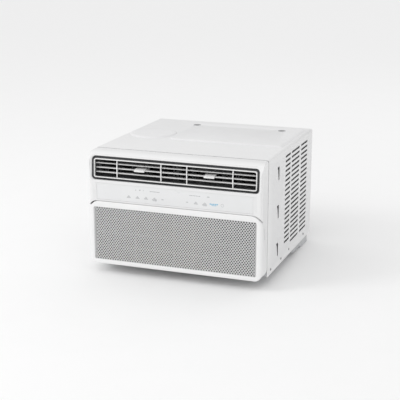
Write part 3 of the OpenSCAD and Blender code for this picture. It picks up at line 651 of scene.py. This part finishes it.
yf, yb = sheet[0].y, sheet[1].y
for row in range(ROWS):
    cz = field_c + (row - (ROWS - 1) / 2) * PZ
    shift = PX / 4 if row % 2 else -PX / 4
    for col in range(COLS):
        cx = (col - (COLS - 1) / 2) * PX + shift
        hw, hh = PX / 2, PZ / 2
        rim = [(hw, -hh), (hw, hh), (0, hh), (-hw, hh), (-hw, -hh), (0, -hh)]
        ring = [(HOLE * math.cos(2 * math.pi * (k - 1.5) / SEG),
                 HOLE * math.sin(2 * math.pi * (k - 1.5) / SEG)) for k in range(SEG)]
        near = {0: 0, 3: 1, 5: 2, 6: 3, 9: 4, 11: 5}
        front = [knot(cx + u, yf, cz + v) for u, v in ring]
        back = [knot(cx + u, yb, cz + v) for u, v in ring]
        starts = sorted(near)
        for y, hole, flip in ((yf, front, 1), (yb, back, -1)):
            out = [knot(cx + u, y, cz + v) for u, v in rim]
            for n, k in enumerate(starts):
                k2 = starts[(n + 1) % 6]
                arc = [hole[j % SEG] for j in range(k, (k2 if k2 > k else k2 + SEG) + 1)]
                poly = arc + [out[near[k2]], out[near[k]]]
                bm.faces.new(poly[::flip])
        for k in range(SEG):
            j = (k + 1) % SEG
            bm.faces.new([front[k], front[j], back[j], back[k]])
rims = {}                                       # open edges of the two faces, by place
for e in bm.edges:
    if len(e.link_faces) == 1:
        ends = sorted((round(v.co.x, 6), round(v.co.z, 6)) for v in e.verts)
        rims.setdefault(tuple(ends), []).append(e)
for pair in rims.values():
    if len(pair) == 2:
        (p, q), (r, t) = pair[0].verts, pair[1].verts
        if (p.co - r.co).length > (p.co - t.co).length:
            r, t = t, r
        bm.faces.new([p, q, t, r])
inside = (2 * (PX * COLS / 2 - PX / 4 - 0.1), 2 * (PZ * ROWS / 2 - 0.02), 0.3)
margin = (2 * sheet[1].x, sheet[1].z - sheet[0].z, 8)
loft(bm, [rounded(0, field_c, *size, 3, lambda x, z, y=y: y) for size, y in
          ((inside, yf + 0.06), (margin, yf + 0.06), (margin, yb - 0.06), (inside, yb - 0.06))],
     closed=True)
piece("perforated_panel", bm, "perforated", "grille", ["grille_sheet"], angle=40)

# filter: a ribbed frame with a woven net behind it
lo, hi = drawn_box("filter_frame")
bm = bmesh.new()
xs = [lo.x + 2 + (hi.x - lo.x - 4) * k / 8 for k in range(9)]
zs = [lo.z + 2 + (hi.z - lo.z - 4) * k / 4 for k in range(5)]
for k, x in enumerate(xs):
    w = 2.0 if k in (0, 8) else 0.9
    brick(bm, (x - w, lo.y + 0.15, lo.z), (x + w, hi.y, hi.z))
for k, z in enumerate(zs):
    w = 2.0 if k in (0, 4) else 0.9
    brick(bm, (lo.x, lo.y + 0.3, z - w), (hi.x, hi.y - 0.2, z + w))
piece("filter_grid", bm, "inner", "grille", ["filter_frame"])
lo, hi = drawn_box("filter_mesh")
bm = bmesh.new()
rows = []
for y in (lo.y, hi.y):
    rows.append([(lo.x, y, lo.z), (hi.x, y, lo.z), (hi.x, y, hi.z), (lo.x, y, hi.z)])
loft(bm, rows, caps=True)
bmesh.ops.subdivide_edges(bm, edges=[e for e in bm.edges if e.calc_length() > 0.01], cuts=24,
                          use_grid_fill=True)
piece("filter_net_sheet", bm, "net", "grille", ["filter_mesh"])

# ------------------------------------------------------------------ control strip

lo, hi = drawn_box("control_overlay")
bm = bmesh.new()
cx, cz, w, h = 0, (lo.z + hi.z) / 2, hi.x - lo.x, hi.z - lo.z
loft(bm, [rounded(cx, cz, w, h, 1.5, 4, lambda x, z: hi.y),
          rounded(cx, cz, w, h, 1.5, 4, lambda x, z: lo.y + 0.35),
          rounded(cx, cz, w - 0.5, h - 0.5, 1.3, 4, lambda x, z: lo.y + 0.08),
          rounded(cx, cz, w - 1.2, h - 1.2, 1.0, 4, lambda x, z: lo.y + 0.03)], caps=True)
piece("control_film", bm, "panel", "chassis", ["control_overlay"])

yp = lo.y - 0.06


def mark(bm, cx, cz, w, h):
    loft(bm, [rounded(cx, cz, w, h, min(w, h) * 0.3, 2, lambda x, z: lo.y + 0.05),
              rounded(cx, cz, w, h, min(w, h) * 0.3, 2, lambda x, z: yp)], caps=True)


bm = bmesh.new()
for x, z, w in ((-121, 251.6, 3.0), (-107, 252.4, 4.6), (-95, 252.0, 1.6)):
    mark(bm, x, z, w, 2.0)
for x0, x1, z in ((-75, -42, 251.2), (53, 88, 251.0)):
    n = 7
    for k in range(n):
        mark(bm, x0 + (x1 - x0) * (k + 0.5) / n, z, (x1 - x0) / n * 0.72, 1.7)
mark(bm, 113, 251.0, 8, 1.7)
for x in (-144, -115, -87, -59, 74, 102):
    wide = 13 if x not in (-59, 102) else 16
    mark(bm, x, 226.6, wide, 1.5)
    mark(bm, x, 229.6, wide * 0.62, 1.3)
    mark(bm, x, 232.2, 3.2, 1.2)
    if x in (-59, 102):
        mark(bm, x, 223.6, wide * 0.8, 1.2)
for x, w in ((-33, 7), (46, 7)):
    mark(bm, x, 229.4, w, 1.6)
for k in range(8):
    a = 2 * math.pi * k / 8
    mark(bm, 157 + 4.2 * math.cos(a), 229.0 + 4.2 * math.sin(a), 1.5, 1.5)
piece("control_marks", bm, "ink", "chassis")
bm = bmesh.new()
for k in range(5):
    mark(bm, 119.5 + 5.4 * k, 230.6 - (0.5 if k % 2 else 0), 4.4, 3.2)
mark(bm, 131, 226.4, 15, 1.5)
piece("control_mark_blue", bm, "ink_blue", "chassis")

# ------------------------------------------------------------------ sheet metal cabinet

CAB = drawn_box("cabinet")
HALF, BACK, LID = CAB[1].x, CAB[1].y, CAB[1].z - 5
FOLD, SHEET = 7.0, 1.2
COLUMNS = ((244.0, 304.0, 19), (315.5, 412.5, 20), (429.5, 511.5, 20))
LOUVRE_TOP, PITCH, SLIT = 334.0, 15.4, 7.4
CLIP_Y, CLIP_Z = 166.5, (56.5, 177.5, 298.5)


def arch_line(t):
    """The cabinet's cross section line, inset by t, from the left foot over to the right."""
    r = FOLD - t
    pts = [(-HALF + t, 0.0)]
    pts += [(-HALF + t + r - r * math.cos(a), LID - t - r + r * math.sin(a))
            for a in [math.pi / 2 * k / 7 for k in range(8)]]
    pts += [(-x, z) for x, z in reversed(pts)]
    return pts


def stadium(y0, y1, z, h, n=6):
    r = h / 2
    pts = [(y1 - r + r * math.cos(a), z + r * math.sin(a))
           for a in [math.radians(-90 + 180 * k / n) for k in range(n + 1)]]
    pts += [(y0 + r + r * math.cos(a), z + r * math.sin(a))
            for a in [math.radians(90 + 180 * k / n) for k in range(n + 1)]]
    return pts


bm = bmesh.new()
front, rear = 62.3, BACK
outer, inner = arch_line(0), arch_line(SHEET)
ease = arch_line(0.5)
rings = [[(x, front, z) for x, z in ease + inner[::-1]],
         [(x, front + 0.5, z) for x, z in outer + inner[::-1]],
         [(x, rear - 1.6, z) for x, z in outer + inner[::-1]],
         [(x, rear - 0.4, z) for x, z in ease + inner[::-1]],
         [(x, rear, z) for x, z in arch_line(1.15) + inner[::-1]]]
loft(bm, rings, caps=True)
skin = piece("cabinet_shell", bm, "paint", "chassis", ["cabinet"])

slots = bmesh.new()
for s in (-1, 1):
    for y0, y1, count in COLUMNS:
        for i in range(count):
            prism(slots, stadium(y0, y1, LOUVRE_TOP - i * PITCH, SLIT), "x",
                  s * (HALF - 4), s * (HALF + 3))
    for z in CLIP_Z:
        prism(slots, [(CLIP_Y - 10, z - 21.5), (CLIP_Y + 10, z - 21.5),
                      (CLIP_Y + 10, z + 21.5), (CLIP_Y - 10, z + 21.5)], "x",
              s * (HALF - 4), s * (HALF + 3))
for x, y in LID_HOLES:
    lathe(slots, [(2.2, LID - 6), (2.2, LID + 8)], (x, y), "z", 20)
cut(skin, slots)

# pressed details of the sides: louvre hoods behind each slit, tongues, rims and beads; the hoods
# are in a darker grey that paints in the shade inside the slits
bm = bmesh.new()
for s in (-1, 1):
    for y0, y1, count in COLUMNS:
        for i in range(count):
            z = LOUVRE_TOP - i * PITCH
            top, low = z + SLIT / 2, z - SLIT / 2
            rows = []
            for y in (y0 - 0.5, y0 + 1.5, (y0 + y1) / 2, y1 - 1.5, y1 + 0.5):
                rows.append([(s * (HALF - q), y, h) for q, h in
                             ((1.25, top + 0.1), (1.6, top + 0.9), (5.3, z - 1.0),
                              (6.4, low - 5.4), (7.2, low - 5.2), (6.3, z - 0.2),
                              (2.4, top + 1.6), (1.25, top + 1.3))])
            loft(bm, rows, caps=True)
            for y in (y0 - 1.4, y1 + 0.4):
                ends = sorted((s * (HALF - 1.25), s * (HALF - 7.2)))
                brick(bm, (ends[0], y, low - 5.2), (ends[1], y + 1.0, top + 1.3))
# the hoods take the darker grey as painted shade, not the cabinet's enamel
piece("louvre_hoods", bm, "shade", "chassis", angle=60)

bm = bmesh.new()
for s in (-1, 1):
    for z in CLIP_Z:
        low = z - 21.5
        rows = []
        for k in range(9):
            u = k / 8
            x = HALF - 0.5 - 1.4 * math.sin(u * 1.5) ** 2
            zz = low - 0.4 + 35.0 * u
            rows.append([(s * x, CLIP_Y - 9.2, zz), (s * x, CLIP_Y + 1.8 - 0.6 * u, zz),
                         (s * (x - 1.2), CLIP_Y + 1.8 - 0.6 * u, zz),
                         (s * (x - 1.2), CLIP_Y - 9.2, zz)])
        loft(bm, rows, caps=True)
piece("clip_tongues", bm, "paint", "chassis", angle=50)

bm = bmesh.new()


def bead(bm, path, r, high, n=7):
    """A raised, rounded bead along a line of (point, outward direction) pairs."""
    rings = []
    for i, (p, out) in enumerate(path):
        p, out = Vector(p), Vector(out)
        a, b = Vector(path[max(i - 1, 0)][0]), Vector(path[min(i + 1, len(path) - 1)][0])
        side = (b - a).normalized().cross(out)
        end = 0.35 if i in (0, len(path) - 1) else 1.0
        rings.append([tuple(p + side * (r * end * math.cos(math.pi * k / n))
                            + out * (high * end * math.sin(math.pi * k / n) - 0.3))
                      for k in range(n + 1)])
    loft(bm, rings, caps=True)


for s in (-1, 1):
    out = (s, 0, 0)
    xs = s * (HALF - 0.55)
    bead(bm, [((xs, 530, 33), out)] + [((xs, 530, 35 + 295 * k / 8), out) for k in range(9)]
         + [((xs, 530, 332), out)], 2.6, 0.55)
piece("side_beads", bm, "paint", "chassis", angle=60)

# stampings of the top
bm = bmesh.new()
prof = [(80.5, LID - 0.4), (79.2, LID + 0.04), (77.6, LID + 0.5), (76.2, LID + 1.5),
        (75.0, LID + 3.2), (73.8, LID + 4.3), (72.2, LID + 4.85), (70.2, LID + 5.0),
        (55, LID + 5.0)]
loft(bm, [circle(*COMPRESSOR, r, 72, "z", h) for r, h in prof], caps=True)
piece("top_disc", bm, "paint", "chassis", angle=60)

bm = bmesh.new()
x0, y0, x1, y1 = -112.0, 243.0, 269.0, 535.0


def flat_ring(left, front_, right, rear_, z, r):
    w, h = x1 - x0 - left - right, y1 - y0 - front_ - rear_
    pts = rounded((x0 + left + x1 - right) / 2, (y0 + front_ + y1 - rear_) / 2, w, h, r, 6)
    return [(p[0], p[2], z) for p in pts]


steps = [(-1.0, -1.0, -1.0, -1.0, LID - 0.4, 7), (0.2, 0.2, 0.4, 0.2, LID + 0.05, 7),
         (1.1, 1.1, 2.2, 1.1, LID + 0.7, 6.5), (2.0, 2.0, 4.6, 2.0, LID + 2.2, 6),
         (2.9, 2.9, 7.2, 2.9, LID + 3.9, 5.5), (3.9, 3.9, 9.2, 3.9, LID + 4.75, 5),
         (5.4, 5.4, 11.6, 5.4, LID + 5.0, 4.5), (12, 12, 18, 12, LID + 5.0, 4)]
loft(bm, [flat_ring(*s) for s in steps], caps=True)
plate = piece("top_plateau", bm, "paint", "chassis", angle=60)
pits = bmesh.new()
for x, y in LID_HOLES:
    loft(pits, [circle(x, y, r, 40, "z", h) for r, h in
                ((13.6, LID + 5.6), (13.2, LID + 5.02), (12.2, LID + 4.5), (10.4, LID + 2.2),
                 (9.2, LID + 0.8), (8.4, LID + 0.4))], caps=True)
cut(plate, pits, angle=50)
# dark dish liners in the lid's two screw dimples: painted shade standing in for the shadow inside
# each pit
bm = bmesh.new()
for x, y in LID_HOLES:
    lathe(bm, [(12.9, LID + 4.9), (11.9, LID + 4.5), (10.2, LID + 2.3), (9.0, LID + 0.95),
               (2.6, LID + 0.5), (2.6, LID + 0.1), (9.6, LID + 0.2), (11.2, LID + 1.6),
               (13.4, LID + 4.2)], (x, y), "z", 40, closed=True)
piece("lid_dimple_shade_liners", bm, "shade", "chassis", angle=50)

bm = bmesh.new()
bead(bm, [((-266, 88.5, LID - 0.3), (0, 0, 1))]
     + [((-264 + 520 * k / 8, 88.5, LID - 0.3), (0, 0, 1)) for k in range(9)]
     + [((258, 88.5, LID - 0.3), (0, 0, 1))], 3.0, 1.0)
piece("top_bead", bm, "paint", "chassis", angle=60)

# rear flange
bm = bmesh.new()
rings = []
for y, t in ((rear - SHEET, 1.0), (rear, 1.0), (rear, 13.2), (rear - 0.5, 14.0),
             (rear - SHEET, 14.0)):
    if t < FOLD:
        line = arch_line(t)
    else:
        w, h, r = HALF - t, LID - t, 5.0
        line = [(-w, 0.0)]
        line += [(-w + r - r * math.cos(a), h - r + r * math.sin(a))
                 for a in [math.pi / 2 * k / 7 for k in range(8)]]
        line += [(-x, z) for x, z in reversed(line)]
    rings.append([(x, y, z) for x, z in line])
loft(bm, rings, cyclic=False, closed=True)
bmesh.ops.holes_fill(bm, edges=bm.edges, sides=8)
piece("rear_flange", bm, "paint", "chassis")

# screws: hex washer heads with a cross recess
heads = bmesh.new()
drive = bmesh.new()


def screw(place, out, r, high, deep, shank):
    """Adds one screw: its head stands on place, pointing out."""
    o = Vector(out)
    p = Vector(place)
    if abs(o.x) > 0.5:
        c, axis, h = (p.y, p.z), "x", p.x
    else:
        c, axis, h = (p.x, p.y), "z", p.z
    s = o.x if axis == "x" else o.z
    lathe(heads, [(shank, h - s * deep), (shank, h - s * 0.05), (r, h), (r, h + s * high * 0.25),
                  (r * 0.93, h + s * high * 0.38)], c, axis, 32)
    loft(heads, [circle(c[0], c[1], q, 6, axis, h + s * t, 0.3) for q, t in
                 ((r * 0.74, high * 0.3), (r * 0.74, high * 0.86), (r * 0.66, high))], caps=True)
    for k in (0, 1):
        wide, tall = (r * 0.42, r * 0.11) if k else (r * 0.11, r * 0.42)
        if axis == "x":
            ends = sorted((h + s * high * 0.45, h + s * (high + 1)))
            brick(drive, (ends[0], c[0] - wide, c[1] - tall), (ends[1], c[0] + wide, c[1] + tall))
        else:
            brick(drive, (c[0] - wide, c[1] - tall, h + high * 0.45),
                  (c[0] + wide, c[1] + tall, h + high + 1))


for s in (-1, 1):
    for y, z in ((211, 14.5), (483, 18), (97, 15), (302.5, 18)):
        screw((s * HALF, y, z), (s, 0, 0), 4.2, 1.6, 9, 2)
side_screws = piece("side_screws", heads, "screw", "chassis", ["cabinet_screws"])
cut(side_screws, drive)
heads, drive = bmesh.new(), bmesh.new()
for x, y in LID_HOLES:
    screw((x, y, LID + 0.4), (0, 0, 1), 6.2, 3.6, 14, 2)
lid_screws = piece("lid_screws", heads, "screw", "chassis", ["top_screws"])
cut(lid_screws, drive)

# ------------------------------------------------------------------ base pan and coils

refine("base_pan", "galvanised", 0.6, "base_tray", angle=25)
refine("drain_plug", "rubber", 0.5, "drain_stopper")


def fin_pack(name, node, pitch):
    """Thin wavy fins between two end plates."""
    lo, hi = drawn_box(node)
    bm = bmesh.new()
    n = int((hi.x - lo.x - 3) / pitch)
    depth = hi.y - lo.y
    for k in range(1, n):
        x = lo.x + 1.5 + (hi.x - lo.x - 3) * k / n
        rows = []
        for z in (lo.z + 0.8, hi.z - 0.8):
            front_ = [(x + 0.35 * math.sin(j * 2.1), lo.y + 0.7 + (depth - 1.4) * j / 6, z)
                      for j in range(7)]
            rear_ = [(q[0] + 0.28, q[1], q[2]) for q in reversed(front_)]
            rows.append(front_ + rear_)
        loft(bm, rows, caps=True)
    piece(name + "_fins", bm, "fins", "chassis", [node])
    bm = bmesh.new()
    for x in (lo.x, hi.x - 1.5):
        soft_brick(bm, (x, lo.y, lo.z), (x + 1.5, hi.y, hi.z), 0.3)
    piece(name + "_end_plates", bm, "zinc", "chassis")


fin_pack("condenser", "condenser_coil", 2.4)
fin_pack("evaporator", "evaporator_coil", 2.2)

# ------------------------------------------------------------------ works inside

def hairpins(name, node, side_x, y, z0, z1):
    """Return bends: half loops of copper tube standing on a coil's end plate."""
    bm = bmesh.new()
    for s in (-1, 1):
        x = s * side_x
        z = z0 + 16
        while z <= z1 - 40:
            path = [(x, y, z)]
            path += [(x + s * 11.6 * math.sin(a), y, z + 12 - 12 * math.cos(a))
                     for a in [math.pi * k / 8 for k in range(1, 8)]]
            path += [(x, y, z + 24)]
            tube(bm, path, 4, 10, bend=1.5)
            z += 48
    piece(name, bm, "copper", "chassis", [node])


hairpins("evaporator_bends", "evaporator_tubes", 247.5, 94, 9, 262)
hairpins("condenser_bends", "condenser_tubes", 257.5, middle("condenser_coil", "y"), 30, 350)

for node, mat, name, edge_ in (
        ("control_board", "board", "control_circuit", 0.2),
        ("air_duct", "duct_lining", "foam_duct", 1.0),
        ("blower_housing", "housing", "blower_scroll", 0.6),
        ("bulkhead", "zinc", "partition", 0.3),
        ("evaporator_tray", "housing", "drip_tray", 0.8),
        ("room_sensor", "black", "room_probe", 0.3),
        ("fan_motor", "motor", "motor_case", 0.6),
        ("motor_bracket", "zinc", "motor_stand", 0.4),
        ("fan_shroud", "black", "shroud", 1.0),
        ("electrical_box", "zinc", "wiring_box", 0.4),
        ("electrical_cover", "zinc", "wiring_cover", 0.3),
        ("main_board", "board", "main_circuit", 0.2),
        ("run_capacitor", "can", "capacitor", 0.6),
        ("cord_gland", "black", "lead_gland", 0.5),
        ("compressor_grommets", "rubber", "compressor_feet", 0.5),
        ("compressor_bolts", "screw", "compressor_studs", 0.3)):
    refine(node, mat, edge_, name)

# compressor: drawn steel shell in two halves with a welded seam, on a three footed plate
bm = bmesh.new()
cx, cy = COMPRESSOR
foot = 15.5
lathe(bm, [(50, foot + 3), (54, foot + 5), (56, foot + 10), (56, foot + 118),
           (56.9, foot + 119), (57.5, foot + 121), (57.2, foot + 124), (57.5, foot + 127),
           (56.8, foot + 128.5), (55.6, foot + 129.5), (55.6, foot + 205), (54.2, foot + 214),
           (50, foot + 222), (42, foot + 227.4), (34, foot + 229), (14, foot + 229.4),
           (14, foot + 235.6), (12.8, foot + 237)], (cx, cy), "z", 72)
plate_ = [(cx + 58 * math.cos(a), cy + 58 * math.sin(a))
          for a in [2 * math.pi * k / 72 for k in range(72)]]
prism(bm, plate_, "z", foot, foot + 2.9)
for a in (90, 210, 330):
    fx, fy = cx + 74 * math.cos(math.radians(a)), cy + 74 * math.sin(math.radians(a))
    ring = [[(fx + r * math.cos(t), fy + r * math.sin(t), h)
             for t in [2 * math.pi * k / 32 for k in range(32)]]
            for r, h in ((7.1, foot), (18, foot), (18, foot + 2.2), (17, foot + 3),
                         (7.1, foot + 3))]
    loft(bm, ring, closed=True)
piece("compressor_shell", bm, "enamel", "chassis", ["compressor"])
bm = bmesh.new()
lathe(bm, [(6, 58), (6.4, 60), (13, 63), (19.5, 67), (22, 72), (22, 126), (22.5, 127.5),
           (22, 129), (22, 187), (19.5, 193), (13, 198), (6.6, 201), (6, 202)],
      ACCUMULATOR, "z", 48)
soft_brick(bm, (-139.5, 286, 120), (-128, 294, 132), 1.0)
piece("suction_accumulator", bm, "enamel", "chassis", ["accumulator"])

# refrigerant tubes on their true routes, the suction line in foam lagging over its long run
SUCTION = [(-112, 290, 201), (-112, 290, 232), (-112, 247, 232), (-112, 247, 40),
           (-205, 247, 40), (-205, 112.2, 40)]
DISCHARGE = [(-193, 315, 252.5), (-193, 315, 280), (-193, 420, 280), (-230, 420, 280),
             (-230, 420, 20), (-265.5, 420, 20), (-265.5, 534, 20), (-257.7, 534, 20)]
CAPILLARY = [(-90, 430, 46), (-90, 430, 62), (-90, 256.5, 62), (-225, 256.5, 62),
             (-225, 112.2, 62)]
OUTLET_TUBE = [(-90, 430, 1), (-90, 430, -14), (-264, 430, -14), (-264, 534, -14),
               (-257.7, 534, -14)]


def pipe(name, path, r, n, bend, mat="copper", nodes=()):
    bm = bmesh.new()
    tube(bm, path, r, n, bend)
    piece(name, bm, mat, "chassis", nodes)


pipe("suction_tube", SUCTION, 4.8, 16, 12, nodes=["suction_line"])
pipe("suction_lagging", [(-112, 247, 214), (-112, 247, 120), (-112, 247, 60)], 6.0, 16, None,
     "lagging")
pipe("discharge_tube", DISCHARGE, 4.0, 16, 11, nodes=["discharge_line"])
pipe("capillary", CAPILLARY, 1.6, 10, 8, nodes=["capillary_tube"])
bm = bmesh.new()
lathe(bm, [(3, 0.3), (6, 1), (8.6, 4), (9, 7), (9, 20), (8.7, 20.6), (8.7, 22), (9, 22.6),
           (9, 37), (8.2, 40.5), (5, 44), (2.5, 46)], DRIER, "z", 32)
tube(bm, OUTLET_TUBE, 2.5, 12, bend=8)
piece("drier", bm, "copper", "chassis", ["filter_drier"])
bm = bmesh.new()
lathe(bm, [(4.4, 252.6), (5.4, 253.4), (5.2, 257), (4.3, 259)], COMPRESSOR, "z", 24)
lathe(bm, [(5.2, 201.6), (6.6, 202.4), (6.2, 206), (5.1, 208)], ACCUMULATOR, "z", 24)
piece("braze_rings", bm, "braze", "chassis")

# fan shaft, squirrel cage blower and axial fan with a slinger ring
fan = drawn_box("motor_shaft")
fx, fz = middle("motor_shaft", "x"), middle("motor_shaft", "z")
bm = bmesh.new()
lathe(bm, [(3.4, fan[0].y), (4, fan[0].y + 0.7), (4, fan[1].y - 0.7), (3.4, fan[1].y)],
      (fx, fz), "y", 32)
piece("fan_spindle", bm, "steel", "rotor", ["motor_shaft"])

wh = drawn_box("blower_wheel")
y0, y1 = wh[0].y, wh[1].y


def turned(u, v, a):
    """A point of the wheel's cross section turned by a about the shaft."""
    return fx + u * math.cos(a) - v * math.sin(a), fz + u * math.sin(a) + v * math.cos(a)


bm = bmesh.new()
lathe(bm, [(4.05, y1), (90.5, y1), (92, y1 - 0.6), (92, y1 - 1.8), (91.2, y1 - 2.4),
           (40, y1 - 2.4), (26, y1 - 3.2), (15, y1 - 7), (13, y1 - 10), (13, y1 - 23.4),
           (12.4, y1 - 24), (4.05, y1 - 24)], (fx, fz), "y", 64, closed=True)
lathe(bm, [(76.2, y0 + 0.4), (76.8, y0), (91.4, y0), (92, y0 + 0.6), (92, y0 + 2.4),
           (91.4, y0 + 3), (76.8, y0 + 3), (76.2, y0 + 2.6)], (fx, fz), "y", 64, closed=True)
for k in range(36):
    t = 2 * math.pi * k / 36
    rows = []
    for y in (y0 + 1.5, y1 - 1.2):
        face = []
        for j in range(6):
            a = math.radians(-46 + 60 * j / 5)
            face.append((77.2 + 13.2 * j / 5, 5.2 * math.sin(a) + 2.0))
        line = [turned(u, v + 0.45, t) for u, v in face]
        line += [turned(u, v - 0.45, t) for u, v in reversed(face)]
        rows.append([(x, y, z) for x, z in line])
    loft(bm, rows, caps=True)
piece("blower_cage", bm, "black", "rotor", ["blower_wheel"])

cf = drawn_box("condenser_fan")
fr = (cf[1].x - cf[0].x) / 2
bm = bmesh.new()
lathe(bm, [(4.05, cf[0].y), (22, cf[0].y), (27, cf[0].y + 1.2), (30, cf[0].y + 5),
           (30, cf[0].y + 28), (29, cf[0].y + 29.6), (26.8, cf[0].y + 30), (26.8, cf[0].y + 6),
           (8, cf[0].y + 5), (8, cf[0].y + 29), (4.05, cf[0].y + 29)], (fx, fz), "y", 64,
      closed=True)
lathe(bm, [(fr - 3, cf[1].y - 11.4), (fr - 2.4, cf[1].y - 12), (fr - 0.6, cf[1].y - 12),
           (fr, cf[1].y - 11.4), (fr, cf[1].y - 0.6), (fr - 0.6, cf[1].y), (fr - 2.4, cf[1].y),
           (fr - 3, cf[1].y - 0.6)], (fx, fz), "y", 96, closed=True)
for k in range(5):
    rows = []
    for j in range(13):
        u = j / 12
        rad = 27 + (fr - 1.6 - 27) * u
        mid = math.radians(72 * k + 16 * u * u)
        chord = 34 + 28 * math.sin(min(1, u * 1.15) * math.pi * 0.62)
        pitch = math.radians(34 - 15 * u)
        up, low = [], []
        for i in range(9):
            w = i / 8 - 0.5
            camber = 3.2 * (1 - 4 * w * w)
            run_ = w * 2 * chord * math.cos(pitch) / rad * 0.5
            lift = w * chord * math.sin(pitch) - camber * math.cos(pitch) * 0.6
            thick = 1.5 * (1 - abs(2 * w) ** 3) + 0.25
            a = mid + run_
            y = max(cf[0].y + 0.6, min(cf[1].y - 1.2, middle("condenser_fan", "y") - 1 + lift))
            up.append((fx + rad * math.cos(a), y - thick / 2, fz + rad * math.sin(a)))
            low.append((fx + rad * math.cos(a), y + thick / 2, fz + rad * math.sin(a)))
        rows.append(up + low[::-1])
    loft(bm, rows, caps=True)
piece("axial_fan", bm, "black", "rotor", ["condenser_fan"], angle=40)

# ------------------------------------------------------------------ stage, light, camera

bm = bmesh.new()
bmesh.ops.create_grid(bm, x_segments=1, y_segments=1, size=14)
me = bpy.data.meshes.new("floor")
bm.to_mesh(me)
bm.free()
floor = bpy.data.objects.new("floor", me)
bpy.context.scene.collection.objects.link(floor)
floor.location = (0, 0, cad_box[0][2] - 0.0005)
M["floor"] = surface("pale_floor", (0.95, 0.95, 0.95), 0.9, vary=0.005, grain=60, bump=0.02,
                     specular=0.1)
me.materials.append(M["floor"])


def soft_light(name, place, aim, size, power):
    data = bpy.data.lights.new(name, "AREA")
    data.shape = "RECTANGLE"
    data.size, data.size_y = size
    data.energy = power
    ob = bpy.data.objects.new(name, data)
    bpy.context.scene.collection.objects.link(ob)
    ob.location = place
    ob.rotation_mode = "QUATERNION"
    ob.rotation_quaternion = (Vector(aim) - Vector(place)).to_track_quat("-Z", "Y")
    return ob


soft_light("key", (-2.6, -2.4, 2.7), (0, 0, 0.2), (1.3, 1.3), 30)
soft_light("top", (1.8, 3.2, 2.6), (0, 0, 0.3), (1.6, 1.6), 5)

world = bpy.data.worlds.new("studio")
world.use_nodes = True
nt = world.node_tree
shade = nt.nodes["Background"]
shade.inputs["Color"].default_value = (1, 1, 1, 1)
sky = nt.nodes.new("ShaderNodeTexCoord")
toward = nt.nodes.new("ShaderNodeVectorMath")
toward.operation = "DOT_PRODUCT"
toward.inputs[1].default_value = (-0.35, -0.75, 0.55)
glow = nt.nodes.new("ShaderNodeMapRange")
glow.inputs["From Min"].default_value = -1.0
glow.inputs["To Min"].default_value = 0.67
glow.inputs["To Max"].default_value = 1.02
nt.links.new(sky.outputs["Generated"], toward.inputs[0])
nt.links.new(toward.outputs["Value"], glow.inputs["Value"])
nt.links.new(glow.outputs["Result"], shade.inputs["Strength"])
bpy.context.scene.world = world
bpy.context.scene.view_settings.view_transform = "Standard"

cam_data = bpy.data.cameras.new("camera")
cam = bpy.data.objects.new("camera", cam_data)
bpy.context.scene.collection.objects.link(cam)
az, el = math.radians(20.31), math.radians(15.08)
back = Vector((math.sin(az) * math.cos(el), -math.cos(az) * math.cos(el), math.sin(el)))
cam.location = Vector((-0.0194, 0.0, 0.1853)) + back * 3.317
cam.rotation_mode = "QUATERNION"
cam.rotation_quaternion = (-back).to_track_quat("-Z", "Y")
cam_data.sensor_width = 36
cam_data.lens = 91.13
cam_data.clip_end = 60
bpy.context.scene.camera = cam
